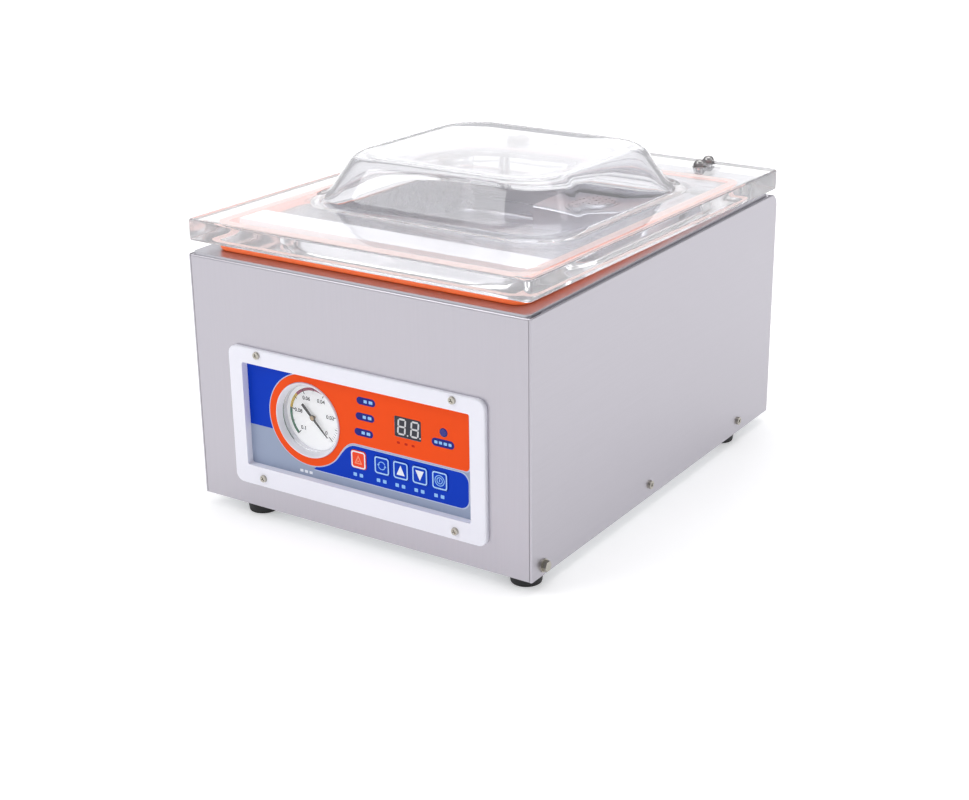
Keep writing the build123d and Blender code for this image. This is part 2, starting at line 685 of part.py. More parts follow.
dtap = tan(radians(DOME_TAPER))
BX = DOME_AX + DOME_H * dtap
BY = DOME_AY + DOME_H * dtap
with BuildPart() as lid_plate:
    with BuildSketch(lidp(0)):
        with Locations((0, LID_L / 2)):
            RectangleRounded(2 * LID_HX, LID_L, 4.0)
    extrude(amount=LID_T)
    fillet(lid_plate.faces().sort_by(Axis.Z)[-1].edges(), radius=1.8)
    with BuildSketch(lidp(LID_T)):
        with Locations((0, DOME_S)):
            RectangleRounded(2 * BX, 2 * BY, DOME_R)
    extrude(amount=DOME_H, taper=DOME_TAPER)
    fillet(lid_plate.faces().sort_by(Axis.Z)[-1].edges(), radius=11.0)
    plate_top = lid_plate.faces().filter_by(lambda f: len(f.inner_wires()) == 1).sort_by(Axis.Z)[-1]
    fillet(plate_top.inner_wires()[0].edges(), radius=DOME_FOOT)
    with BuildSketch(lidp(0)):
        with Locations((0, DOME_S)):
            RectangleRounded(2 * (BX - DOME_W + 5), 2 * (BY - DOME_W + 5), DOME_R)
    extrude(amount=LID_T, taper=12, mode=Mode.SUBTRACT)
    with BuildSketch(lidp(LID_T)):
        with Locations((0, DOME_S)):
            RectangleRounded(2 * (BX - DOME_W - 0.5), 2 * (BY - DOME_W - 0.5), DOME_R - 4)
    extrude(amount=DOME_H - DOME_W, taper=DOME_TAPER, mode=Mode.SUBTRACT)
    with BuildSketch(lidp(-1)):
        with Locations(*[(sx * HG_X, s) for sx in (-1, 1) for s in NUT_S]):
            Circle(3.3)
    extrude(amount=LID_T + 2, mode=Mode.SUBTRACT)
lid_plate.part.label = "lid_plate"
export_step(lid_plate.part, "parts/lid_plate.step")

# gasket: soft frame between the lid's underside and the deck
with BuildPart() as lid_gasket:
    with BuildSketch(lidp(0)):
        with Locations((0, (GK_Y0 + GK_Y1) / 2 - LID_Y)):
            RectangleRounded(2 * GK_X, GK_Y1 - GK_Y0, 14.0)
            RectangleRounded(2 * (GK_X - GK_W), GK_Y1 - GK_Y0 - 2 * GK_W, 7.0, mode=Mode.SUBTRACT)
    extrude(amount=-14.0)
    with BuildSketch(top(H + TD + 0.15)):
        with Locations((0, D / 2)):
            Rectangle(W + 40, D + 60)
    extrude(amount=-30, mode=Mode.SUBTRACT)
lid_gasket.part.label = "lid_gasket"
export_step(lid_gasket.part, "parts/lid_gasket.step")

with BuildPart() as seal_strip_holder:
    with BuildSketch(lidp(0)):
        with Locations((0, SB_Y - LID_Y)):
            RectangleRounded(2 * 140.4, 32.0, 1.5)
    extrude(amount=-8.0)
    with BuildSketch(lidp(-8.0)):
        with Locations((0, SB_Y - LID_Y)):
            Rectangle(2 * 134.0, 12.2)
    extrude(amount=4.0, mode=Mode.SUBTRACT)
seal_strip_holder.part.label = "seal_strip_holder"
export_step(seal_strip_holder.part, "parts/seal_strip_holder.step")

with BuildPart() as silicone_strip:
    with BuildSketch(lidp(-4.0)):
        with Locations((0, SB_Y - LID_Y)):
            Rectangle(2 * 133.8, 12.0)
    extrude(amount=-6.0)
silicone_strip.part.label = "silicone_strip"
export_step(silicone_strip.part, "parts/silicone_strip.step")

with BuildPart() as hinge_arms:
    for sx in (-1, 1):
        with BuildSketch(lidp(0)):
            with Locations((sx * HG_X, 405.5)):
                Rectangle(20.0, 33.0)
        extrude(amount=-2.4)
        with BuildSketch(side(sx * HG_X - 8.0)):
            with BuildLine():
                Polyline((HG_Y - 6, HG_Z), (HG_Y - 9, H + 3.0), (HG_Y + 4.5, H + 3.0), (HG_Y + 6, HG_Z), close=True)
            make_face()
            with Locations((HG_Y, HG_Z)):
                Circle(6.0)
        extrude(amount=16.0)
        with BuildSketch(side(sx * HG_X - 9.0)):
            with Locations((HG_Y, HG_Z)):
                Circle(HG_PIN_R + 0.05)
        extrude(amount=18.0, mode=Mode.SUBTRACT)
        with BuildSketch(lidp(-1.0)):
            with Locations(*[(sx * HG_X, s) for s in NUT_S]):
                Circle(2.9)
        extrude(amount=LID_T + 3.0)
hinge_arms.part.label = "hinge_arms"
export_step(hinge_arms.part, "parts/hinge_arms.step")

with BuildPart() as lid_domed_nuts:
    for sx in (-1, 1):
        for s in NUT_S:
            with BuildSketch(lidp(LID_T)):
                with Locations((sx * HG_X, s)):
                    Circle(6.6)
                    Circle(2.95, mode=Mode.SUBTRACT)
            extrude(amount=1.0)
            with BuildSketch(lidp(LID_T + 1.0)):
                with Locations((sx * HG_X, s)):
                    RegularPolygon(5.6, 6)
                    Circle(2.95, mode=Mode.SUBTRACT)
            extrude(amount=3.2)
            with BuildSketch(lidp(LID_T + 4.2)):
                with Locations((sx * HG_X, s)):
                    Circle(4.6)
            extrude(amount=1.4)
            with BuildSketch(lidp(LID_T + 5.6)):
                with Locations((sx * HG_X, s)):
                    Circle(4.6)
            extrude(amount=1.8, taper=40)
lid_domed_nuts.part.label = "lid_domed_nuts"
export_step(lid_domed_nuts.part, "parts/lid_domed_nuts.step")

# ---- hinge brackets, pins and springs, fixed to the rear panel ----
with BuildPart() as hinge_brackets:
    for sx in (-1, 1):
        with BuildSketch(front(D - T)):
            with Locations((sx * HG_X, H - 40.0)):
                Rectangle(40.0, 40.0)
        extrude(amount=2.5)
        for ex in (-20.0, 17.0):
            with BuildSketch(side(sx * HG_X + ex)):
                with BuildLine():
                    Polyline((D - T, H - 60), (D - T, H - 20), (HG_Y + 5.9, HG_Z), (HG_Y - 5.9, HG_Z), (HG_Y - 5.9, H - 40), close=True)
                make_face()
                with Locations((HG_Y, HG_Z)):
                    Circle(5.9)
            extrude(amount=3.0)
            with BuildSketch(side(sx * HG_X + ex - 1)):
                with Locations((HG_Y, HG_Z)):
                    Circle(HG_PIN_R)
            extrude(amount=5.0, mode=Mode.SUBTRACT)
        with BuildSketch(front(D + 1)):
            with Locations((sx * HG_X - 12, H - 42), (sx * HG_X + 12, H - 42)):
                Circle(1.8)
        extrude(amount=8, mode=Mode.SUBTRACT)
hinge_brackets.part.label = "hinge_brackets"
export_step(hinge_brackets.part, "parts/hinge_brackets.step")

with BuildPart() as hinge_pins:
    with BuildSketch(side(-HG_X - 21.5)):
        with Locations((HG_Y, HG_Z)):
            Circle(HG_PIN_R)
    extrude(amount=43.0)
    with BuildSketch(side(HG_X - 21.5)):
        with Locations((HG_Y, HG_Z)):
            Circle(HG_PIN_R)
    extrude(amount=43.0)
hinge_pins.part.label = "hinge_pins"
export_step(hinge_pins.part, "parts/hinge_pins.step")

WIRE = 0.8
with BuildPart() as lid_lift_springs:
    for sx in (-1, 1):
        for x0 in (sx * HG_X - 16.6, sx * HG_X + 8.6):
            with BuildSketch(top(HG_Z)):
                with Locations(*[(x0 + 0.8 + 1.45 * i, HG_Y + 4.2) for i in range(5)]):
                    Circle(WIRE)
            revolve(axis=Axis((0, HG_Y - YS, HG_Z + ZS), (1, 0, 0)))
            with Locations((x0 + 0.8, HG_Y - 4.2 - YS, HG_Z + ZS - 14.0)):
                Cylinder(WIRE, 28.0)
lid_lift_springs.part.label = "lid_lift_springs"
export_step(lid_lift_springs.part, "parts/lid_lift_springs.step")

# ============================ inside =======================================

MX0, MX1 = -104.0, 18.0
with BuildPart() as pump_motor:
    with BuildSketch(side(MX0)):
        with Locations((MOT_Y, MOT_Z)):
            Circle(MOT_R - 5)
        with Locations((MOT_Y, MOT_Z)):
            with PolarLocations(MOT_R - 4, 24):
                Rectangle(9.0, 3.0)
    extrude(amount=MX1 - MX0)
    with BuildSketch(top(MOT_Z - MOT_R - 12)):
        with Locations((-50, MOT_Y)):
            Rectangle(80, 74)
    extrude(amount=5)
    with BuildSketch(top(MOT_Z - MOT_R - 7)):
        with Locations((-50, MOT_Y - 26), (-50, MOT_Y + 26)):
            Rectangle(70, 6)
    extrude(amount=24)
    with BuildSketch(top(MOT_Z + MOT_R - 8)):
        with Locations((-50, MOT_Y)):
            RectangleRounded(54, 44, 4)
    extrude(amount=22)
    with BuildSketch(side(MX0 - 1)):
        with Locations((MOT_Y, MOT_Z)):
            Circle(SHAFT_R + 0.06)
    extrude(amount=MX1 - MX0 + 2, mode=Mode.SUBTRACT)
pump_motor.part.label = "pump_motor"
export_step(pump_motor.part, "parts/pump_motor.step")

with BuildPart() as motor_shaft:
    with BuildSketch(side(MX0 - 18)):
        with Locations((MOT_Y, MOT_Z)):
            Circle(SHAFT_R)
    extrude(amount=MX1 + 22 - MX0 + 18)
motor_shaft.part.label = "motor_shaft"
export_step(motor_shaft.part, "parts/motor_shaft.step")

with BuildPart() as cooling_fan:
    with BuildSketch(side(MX0 - 16)):
        with Locations((MOT_Y, MOT_Z)):
            Circle(14.0)
    extrude(amount=12)
    with BuildSketch(side(MX0 - 16)):
        with Locations((MOT_Y, MOT_Z)):
            with PolarLocations(26.0, 7):
                Rectangle(30.0, 2.4)
    extrude(amount=12)
    with BuildSketch(side(MX0 - 17)):
        with Locations((MOT_Y, MOT_Z)):
            Circle(SHAFT_R)
    extrude(amount=14, mode=Mode.SUBTRACT)
cooling_fan.part.label = "cooling_fan"
export_step(cooling_fan.part, "parts/cooling_fan.step")

with BuildPart() as fan_cover:
    with BuildSketch(side(MX0 - 24)):
        with Locations((MOT_Y, MOT_Z)):
            Circle(MOT_R + 3)
    extrude(amount=34)
    with BuildSketch(side(MX0 - 22.5)):
        with Locations((MOT_Y, MOT_Z)):
            Circle(MOT_R + 1.5)
    extrude(amount=36, mode=Mode.SUBTRACT)
    with BuildSketch(side(MX0 - 25)):
        with Locations((MOT_Y, MOT_Z)):
            with PolarLocations(20, 12):
                SlotOverall(14, 4)
            with PolarLocations(38, 18):
                SlotOverall(16, 4)
    extrude(amount=4, mode=Mode.SUBTRACT)
fan_cover.part.label = "fan_cover"
export_step(fan_cover.part, "parts/fan_cover.step")

with BuildPart() as vacuum_pump:
    with BuildSketch(top(16)):
        with Locations((MX1 + 48, MOT_Y)):
            RectangleRounded(90, 112, 6)
    extrude(amount=104)
    with BuildSketch(side(MX1)):
        with Locations((MOT_Y, MOT_Z)):
            Circle(36)
    extrude(amount=6)
    with BuildSketch(top(10)):
        with Locations((MX1 + 48, MOT_Y)):
            Rectangle(70, 90)
    extrude(amount=6)
    with BuildSketch(side(MX1 - 1)):
        with Locations((MOT_Y, MOT_Z)):
            Circle(SHAFT_R + 0.06)
    extrude(amount=24, mode=Mode.SUBTRACT)
    with BuildSketch(front(MOT_Y - 56)):
        with Locations((MX1 + 48, 45)):
            Circle(8.0)
    extrude(amount=-5, mode=Mode.SUBTRACT)
    with Locations((MX1 + 25, MOT_Y - 30 - YS, 120 + ZS + 5)):
        Cylinder(11, 10)
    with BuildSketch(front(321.5)):
        with Locations((70, 92)):
            Circle(5.3)
    extrude(amount=321.5 - 310.5)
    with BuildSketch(front(313.5)):
        with Locations((70, 92)):
            Circle(11)
    extrude(amount=3.0)
vacuum_pump.part.label = "vacuum_pump"
export_step(vacuum_pump.part, "parts/vacuum_pump.step")

with BuildPart() as oil_sight_glass:
    with BuildSketch(front(MOT_Y - 51)):
        with Locations((MX1 + 48, 45)):
            Circle(8.0)
    extrude(amount=7)
oil_sight_glass.part.label = "oil_sight_glass"
export_step(oil_sight_glass.part, "parts/oil_sight_glass.step")

with BuildPart() as pump_mounts:
    with Locations(*[(x, MOT_Y + dy - YS, ZS + TB + 4.25) for x in (MX1 + 22, MX1 + 74) for dy in (-36, 36)]):
        Cylinder(9, 8.5)
    with Locations(*[(x, MOT_Y + dy - YS, ZS + TB + 4.25) for x in (-80, -20) for dy in (-28, 28)]):
        Cylinder(8, 8.5)
pump_mounts.part.label = "pump_mounts"
export_step(pump_mounts.part, "parts/pump_mounts.step")

# exhaust filter behind the motor, its tail pipe through the rear panel
with BuildPart() as exhaust_filter:
    with BuildSketch(front(404)):
        with Locations((EX_X, EX_Z)):
            Circle(26)
    extrude(amount=76)
    fillet(exhaust_filter.edges().filter_by(GeomType.CIRCLE), radius=5)
    with BuildSketch(front(D + 4.2)):
        with Locations((EX_X, EX_Z)):
            Circle(13)
            Circle(6.5, mode=Mode.SUBTRACT)
    extrude(amount=4.2)
    with BuildSketch(front(D)):
        with Locations((EX_X, EX_Z)):
            Circle(9)
            Circle(6.5, mode=Mode.SUBTRACT)
    extrude(amount=D - 404)
exhaust_filter.part.label = "exhaust_filter"
export_step(exhaust_filter.part, "parts/exhaust_filter.step")

# hoses: from the spigot under the chamber to the pump's rear face, and from the
# valve to the bladder under the seal bar
HOSE_R = 8.0
with BuildPart() as hoses:
    with BuildLine():
        FilletPolyline((70, 340 - YS, 156 + ZS), (70, 340 - YS, 92 + ZS), (70, 314 - YS, 92 + ZS), radius=18)
    with BuildSketch(Plane(origin=(70, 340 - YS, 156 + ZS), z_dir=(0, 0, -1))):
        Circle(HOSE_R)
        Circle(HOSE_R - 2.5, mode=Mode.SUBTRACT)
    sweep()
    with BuildLine():
        FilletPolyline((-94.0, 110.0 - YS, TB + 41 + ZS), (-94.0, 110.0 - YS, 120 + ZS), (0, SB_Y - YS, 120 + ZS),
                       (0, SB_Y - YS, 159 + ZS), radius=20)
    with BuildSketch(Plane(origin=(-94.0, 110.0 - YS, TB + 41 + ZS), z_dir=(0, 0, 1))):
        Circle(4.0)
    sweep()
hoses.part.label = "hoses"
export_step(hoses.part, "parts/hoses.step")

# transformer for the heating ribbon
TX, TY = 110.0, 110.0
with BuildPart() as transformer_core:
    with BuildSketch(front(TY + 22)):
        with Locations((TX, TB + 36)):
            Rectangle(72, 60)
        with Locations((TX - 18, TB + 36), (TX + 18, TB + 36)):
            Rectangle(14, 38, mode=Mode.SUBTRACT)
    extrude(amount=44)
    with BuildSketch(top(TB)):
        with Locations((TX, TY)):
            Rectangle(94, 40)
        with Locations((TX - 42, TY), (TX + 42, TY)):
            Circle(2.2, mode=Mode.SUBTRACT)
    extrude(amount=6)
transformer_core.part.label = "transformer_core"
export_step(transformer_core.part, "parts/transformer_core.step")

with BuildPart() as transformer_winding:
    with BuildSketch(top(TB + 18)):
        with Locations((TX, TY)):
            RectangleRounded(49.6, 72, 6)
            Rectangle(22.2, 44.4, mode=Mode.SUBTRACT)
    extrude(amount=36)
transformer_winding.part.label = "transformer_winding"
export_step(transformer_winding.part, "parts/transformer_winding.step")

# valve block with its coil, feeding the bladder under the seal bar
VX, VY = -110.0, 110.0
with BuildPart() as air_valve:
    with BuildSketch(top(TB)):
        with Locations((VX, VY)):
            Rectangle(56, 30)
    extrude(amount=28)
    with Locations((VX - 12, VY - YS, ZS + TB + 28 + 17)):
        Cylinder(13, 34)
    with Locations((VX + 16, VY - YS, ZS + TB + 28 + 6)):
        Cylinder(3.0, 12)
air_valve.part.label = "air_valve"
export_step(air_valve.part, "parts/air_valve.step")

# ---- rear fittings ----
with BuildPart() as power_inlet:
    with BuildSketch(front(D + 3.0)):
        with Locations((IN_X, IN_Z)):
            RectangleRounded(50.0, 24.0, 3.0)
            with Locations((-20, 0), (20, 0)):
                Circle(1.7, mode=Mode.SUBTRACT)
    extrude(amount=3.0)
    with BuildSketch(front(D)):
        with Locations((IN_X, IN_Z)):
            Rectangle(27.6, 20.6)
    extrude(amount=22.0)
    with BuildSketch(front(D + 3.0)):
        with Locations((IN_X, IN_Z)):
            RectangleRounded(24.0, 16.2, 3.0)
    extrude(amount=20.0, mode=Mode.SUBTRACT)
power_inlet.part.label = "power_inlet"
export_step(power_inlet.part, "parts/power_inlet.step")

with BuildPart() as inlet_pins:
    with BuildSketch(front(D - 1.0)):
        with Locations((IN_X - 7, IN_Z - 2), (IN_X, IN_Z + 3), (IN_X + 7, IN_Z - 2)):
            Rectangle(2.0, 4.0)
    extrude(amount=16.0)
inlet_pins.part.label = "inlet_pins"
export_step(inlet_pins.part, "parts/inlet_pins.step")

with BuildPart() as switch_frame:
    with BuildSketch(front(D + 2.0)):
        with Locations((SW_X, SW_Z)):
            RectangleRounded(33.0, 25.0, 1.5)
    extrude(amount=2.0)
    with BuildSketch(front(D)):
        with Locations((SW_X, SW_Z)):
            Rectangle(27.6, 19.6)
    extrude(amount=18.0)
    with BuildSketch(front(D + 2.0)):
        with Locations((SW_X, SW_Z)):
            Rectangle(24.0, 16.0)
    extrude(amount=14.0, mode=Mode.SUBTRACT)
switch_frame.part.label = "switch_frame"
export_step(switch_frame.part, "parts/switch_frame.step")

# rocker: pivots on a horizontal axis across its middle, shown in its off position
RK_Y, RK_Z = D - 4.0, SW_Z
ct, st = cos(radians(8.0)), sin(radians(8.0))


def rk(dy, dz):
    return (RK_Y + dy * ct - dz * st, RK_Z + dy * st + dz * ct)


with BuildPart() as power_rocker:
    with BuildSketch(side(SW_X - 11.4)):
        with BuildLine():
            Polyline(rk(-3.6, -6.4), rk(5.2, -7.2), rk(3.9, 0), rk(5.2, 7.2), rk(-3.6, 6.4), close=True)
        make_face()
    extrude(amount=22.8)
power_rocker.part.label = "power_rocker"
export_step(power_rocker.part, "parts/power_rocker.step")

with BuildPart() as fuse_holder:
    with BuildSketch(front(D + 4.2)):
        with Locations((FU_X, FU_Z)):
            Circle(7.6)
    extrude(amount=4.2)
    with BuildSketch(front(D + 4.2)):
        with Locations((FU_X, FU_Z)):
            Rectangle(9, 1.6)
    extrude(amount=1.4, mode=Mode.SUBTRACT)
    with BuildSketch(front(D)):
        with Locations((FU_X, FU_Z)):
            Circle(6.0)
    extrude(amount=30.0)
fuse_holder.part.label = "fuse_holder"
export_step(fuse_holder.part, "parts/fuse_holder.step")
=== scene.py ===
import math
import bpy
import bmesh
from math import sin, cos, tan, radians, pi, sqrt
from mathutils import Vector, Matrix


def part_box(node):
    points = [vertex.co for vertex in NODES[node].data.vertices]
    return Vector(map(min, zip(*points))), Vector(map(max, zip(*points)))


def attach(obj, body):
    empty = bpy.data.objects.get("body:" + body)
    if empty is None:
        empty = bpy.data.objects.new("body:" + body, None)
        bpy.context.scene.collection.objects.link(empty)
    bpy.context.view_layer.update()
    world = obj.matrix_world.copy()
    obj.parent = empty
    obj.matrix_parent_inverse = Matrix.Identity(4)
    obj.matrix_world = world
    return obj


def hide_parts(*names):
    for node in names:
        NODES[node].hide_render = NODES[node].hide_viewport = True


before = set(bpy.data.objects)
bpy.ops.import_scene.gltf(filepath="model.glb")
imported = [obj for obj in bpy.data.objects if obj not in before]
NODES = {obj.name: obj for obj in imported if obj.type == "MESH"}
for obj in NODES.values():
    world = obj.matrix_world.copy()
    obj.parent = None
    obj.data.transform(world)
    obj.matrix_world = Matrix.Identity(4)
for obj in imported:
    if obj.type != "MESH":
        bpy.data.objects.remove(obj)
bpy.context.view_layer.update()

col = bpy.context.scene.collection
scn = bpy.context.scene


def P(x, y, z):
    """Casing millimetres (y from the front face, z from the bottom edge) to metres in the shared frame."""
    return Vector((x / 1000.0, (y - 213.0) / 1000.0, (z + 11.0) / 1000.0))


# ---------------------------------------------------------------- camera ----
f_px = 1736.0236
R = ((0.83673899, 0.54747476, -0.01180016),
     (-0.18803495, 0.30749036, 0.93278751),
     (0.51430605, -0.77828084, 0.36023356))
C = P(791.742, -1010.847, 610.265)
cam_data = bpy.data.cameras.new("studio_camera")
cam_data.sensor_fit = "HORIZONTAL"
cam_data.sensor_width = 36.0
cam_data.lens = f_px / 969.0 * 36.0
cam_data.clip_start = 0.01
cam_data.clip_end = 60.0
cam_data.dof.use_dof = False
cam = bpy.data.objects.new("studio_camera", cam_data)
col.objects.link(cam)
cam.matrix_world = Matrix(((R[0][0], R[1][0], R[2][0], C.x),
                           (R[0][1], R[1][1], R[2][1], C.y),
                           (R[0][2], R[1][2], R[2][2], C.z),
                           (0, 0, 0, 1)))
scn.camera = cam
scn.view_settings.view_transform = "Standard"
scn.view_settings.look = "None"
scn.view_settings.exposure = 0.0
scn.view_settings.gamma = 1.0
scn.cycles.max_bounces = 20
scn.cycles.transmission_bounces = 16
scn.cycles.glossy_bounces = 8
scn.cycles.diffuse_bounces = 5
scn.cycles.blur_glossy = 0.6
scn.cycles.sample_clamp_indirect = 6.0


# ------------------------------------------------------------- materials ----
def lin(r, g, b):
    """8-bit display colour to linear."""
    out = []
    for v in (r, g, b):
        v = v / 255.0
        out.append(v / 12.92 if v <= 0.04045 else ((v + 0.055) / 1.055) ** 2.4)
    return tuple(out)


class Mat:
    """A small builder round one Principled shader."""

    def __init__(self, name):
        self.m = bpy.data.materials.new(name)
        self.m.use_nodes = True
        self.t = self.m.node_tree
        self.t.nodes.clear()
        self.out = self.t.nodes.new("ShaderNodeOutputMaterial")
        self.b = self.t.nodes.new("ShaderNodeBsdfPrincipled")
        self.t.links.new(self.b.outputs[0], self.out.inputs[0])
        self.co = self.t.nodes.new("ShaderNodeTexCoord").outputs["Object"]
        self.normal = None

    def put(self, **kw):
        for k, v in kw.items():
            s = self.b.inputs[k.replace("_", " ")]
            s.default_value = (*v, 1.0) if s.type == "RGBA" else v
        return self

    def mapped(self, scale, rot=(0, 0, 0)):
        n = self.t.nodes.new("ShaderNodeMapping")
        n.inputs["Scale"].default_value = scale
        n.inputs["Rotation"].default_value = rot
        self.t.links.new(self.co, n.inputs["Vector"])
        return n.outputs[0]

    def noise(self, scale, detail=3.0, rough=0.5, distortion=0.0, vec=None):
        n = self.t.nodes.new("ShaderNodeTexNoise")
        n.inputs["Scale"].default_value = scale
        n.inputs["Detail"].default_value = detail
        n.inputs["Roughness"].default_value = rough
        n.inputs["Distortion"].default_value = distortion
        self.t.links.new(vec if vec is not None else self.co, n.inputs["Vector"])
        return n.outputs["Fac"]

    def voronoi(self, scale, feature="F1", vec=None):
        n = self.t.nodes.new("ShaderNodeTexVoronoi")
        n.feature = feature
        n.inputs["Scale"].default_value = scale
        self.t.links.new(vec if vec is not None else self.co, n.inputs["Vector"])
        return n.outputs["Distance"]

    def wave(self, scale, direction="X", distortion=0.0, vec=None):
        n = self.t.nodes.new("ShaderNodeTexWave")
        n.bands_direction = direction
        n.inputs["Scale"].default_value = scale
        n.inputs["Distortion"].default_value = distortion
        self.t.links.new(vec if vec is not None else self.co, n.inputs["Vector"])
        return n.outputs["Fac"]

    def span(self, v, lo, hi, a=0.25, b=0.75):
        n = self.t.nodes.new("ShaderNodeMapRange")
        n.inputs["From Min"].default_value = a
        n.inputs["From Max"].default_value = b
        n.inputs["To Min"].default_value = lo
        n.inputs["To Max"].default_value = hi
        self.t.links.new(v, n.inputs["Value"])
        return n.outputs["Result"]

    def rough(self, v, lo, hi, a=0.25, b=0.75):
        self.t.links.new(self.span(v, lo, hi, a, b), self.b.inputs["Roughness"])
        return self

    def tone(self, v, c0, c1, a=0.25, b=0.75, into="Base Color"):
        n = self.t.nodes.new("ShaderNodeMix")
        n.data_type = "RGBA"
        n.inputs[6].default_value = (*c0, 1.0)
        n.inputs[7].default_value = (*c1, 1.0)
        self.t.links.new(self.span(v, 0.0, 1.0, a, b), n.inputs[0])
        if into:
            self.t.links.new(n.outputs[2], self.b.inputs[into])
        return n.outputs[2]

    def math(self, op, a, b):
        n = self.t.nodes.new("ShaderNodeMath")
        n.operation = op
        for i, v in enumerate((a, b)):
            if isinstance(v, (int, float)):
                n.inputs[i].default_value = v
            else:
                self.t.links.new(v, n.inputs[i])
        return n.outputs[0]

    def bump(self, v, distance, strength=1.0):
        n = self.t.nodes.new("ShaderNodeBump")
        n.inputs["Distance"].default_value = distance
        n.inputs["Strength"].default_value = strength
        self.t.links.new(v, n.inputs["Height"])
        if self.normal is not None:
            self.t.links.new(self.normal, n.inputs["Normal"])
        self.normal = n.outputs[0]
        self.t.links.new(self.normal, self.b.inputs["Normal"])
        return self


def shade(c, k):
    return tuple(min(1.0, v * k) for v in c)


def brushed(name, base, rough, along="X", streak=700.0, dr=0.03, bump=7.0e-7, tone=0.022):
    """Ground sheet steel: streaks along one axis, blotchy roughness, faint waviness of the sheet."""
    m = Mat(name).put(Metallic=1.0)
    sc = {"X": (12.0, streak, streak), "Y": (streak, 12.0, streak), "Z": (streak, streak, 12.0)}[along]
    grain = m.noise(1.0, 4.0, 0.62, 0.0, m.mapped(sc))
    cloud = m.noise(9.0, 3.0, 0.55)
    m.tone(m.math("ADD", m.math("MULTIPLY", grain, 0.6), m.math("MULTIPLY", cloud, 0.4)), shade(base, 1 - tone), shade(base, 1 + tone), 0.35, 0.65)
    m.rough(m.math("ADD", m.math("MULTIPLY", grain, 0.5), m.math("MULTIPLY", cloud, 0.5)), rough - dr, rough + dr, 0.35, 0.65)
    m.bump(grain, bump)
    m.bump(m.noise(9.0, 1.0, 0.4), 3.0e-5, 0.3)
    return m.m


def plastic(name, base, rough, coat=0.0, grain=1400.0, bump=4.0e-6, tone=0.03, coat_rough=0.08, cloud=22.0, **kw):
    m = Mat(name).put(Coat_Weight=coat, Coat_Roughness=coat_rough, **kw)
    n = m.noise(cloud, 4.0, 0.6)
    fine = m.noise(grain, 2.0, 0.5)
    m.tone(n, shade(base, 1 - tone), shade(base, 1 + tone))
    m.rough(m.math("ADD", m.math("MULTIPLY", n, 0.5), m.math("MULTIPLY", fine, 0.5)), max(0.02, rough - 0.07), rough + 0.07, 0.35, 0.65)
    m.bump(fine, bump)
    return m.m


def cast(name, base, rough, metal=0.0, grain=900.0, bump=4.0e-5, tone=0.12):
    m = Mat(name).put(Metallic=metal)
    n = m.noise(grain, 4.0, 0.65)
    c = m.noise(16.0, 4.0, 0.6)
    m.tone(m.math("ADD", m.math("MULTIPLY", n, 0.4), m.math("MULTIPLY", c, 0.6)), shade(base, 1 - tone), shade(base, 1 + tone), 0.35, 0.65)
    m.rough(c, rough - 0.1, min(1.0, rough + 0.1))
    m.bump(n, bump)
    return m.m


STEEL = lin(186, 183, 190)
M = {}
M["cover_front"] = brushed("stainless_cover_front", STEEL, 0.34, "Z", 620.0)
M["cover_side"] = brushed("stainless_cover_side", STEEL, 0.33, "Y", 620.0)
M["deck"] = brushed("stainless_deck", lin(176, 175, 181), 0.36, "X", 800.0, 0.03)
M["bowl"] = brushed("stainless_bowl", lin(204, 204, 210), 0.28, "X", 520.0, 0.05, 1.0e-6, 0.03)
M["suction"] = brushed("stainless_suction", lin(208, 208, 214), 0.3, "X", 700.0, 0.04)
M["galvanised"] = None
g = Mat("galvanised_tray").put(Metallic=1.0)
sp = g.voronoi(95.0)
g.tone(sp, lin(176, 180, 184), lin(205, 208, 210), 0.0, 0.7)
g.rough(g.noise(60.0, 4.0, 0.6), 0.36, 0.55)
g.bump(sp, 6.0e-6)
M["galvanised"] = g.m
M["bezel"] = plastic("bezel_white", lin(242, 242, 251), 0.34, 0.15, 1500.0, 3.0e-6, 0.012)
M["panel"] = plastic("printed_panel", lin(158, 170, 194), 0.5, 0.0, 2600.0, 2.0e-6, 0.02, Specular_IOR_Level=0.1)
M["ink_blue"] = plastic("ink_blue", lin(0, 58, 190), 0.5, 0.0, 2600.0, 2.0e-6, 0.04, Specular_IOR_Level=0.1)
M["ink_orange"] = plastic("ink_orange", lin(247, 82, 24), 0.5, 0.0, 2600.0, 2.0e-6, 0.03, Specular_IOR_Level=0.1)
M["ink_pale"] = plastic("ink_pale", lin(192, 203, 226), 0.5, 0.0, 2600.0, 2.0e-6, 0.02, Specular_IOR_Level=0.1)
M["ink_white"] = plastic("ink_white", lin(238, 242, 250), 0.5, 0.0, 2600.0, 2.0e-6, 0.02, Specular_IOR_Level=0.1)
M["ink_navy"] = plastic("ink_navy", lin(38, 44, 132), 0.5, 0.0, 2600.0, 2.0e-6, 0.05, Specular_IOR_Level=0.1)
M["ink_key"] = plastic("ink_key", lin(176, 214, 252), 0.5, 0.0, 2600.0, 2.0e-6, 0.02, Specular_IOR_Level=0.1)
M["ink_red"] = plastic("ink_red", lin(196, 40, 22), 0.5, 0.0, 2600.0, 2.0e-6, 0.05, Specular_IOR_Level=0.1)
M["ink_sky"] = plastic("ink_sky", lin(150, 200, 250), 0.5, 0.0, 2600.0, 2.0e-6, 0.03, Specular_IOR_Level=0.1)
M["ink_salmon"] = plastic("ink_salmon", lin(255, 150, 120), 0.5, 0.0, 2600.0, 2.0e-6, 0.03, Specular_IOR_Level=0.1)
M["key_blue"] = plastic("key_blue", lin(4, 62, 190), 0.5, 0.0, 2600.0, 2.0e-6, 0.04, Specular_IOR_Level=0.1)
M["key_orange"] = plastic("key_orange", lin(246, 78, 48), 0.5, 0.0, 2600.0, 2.0e-6, 0.03, Specular_IOR_Level=0.1)
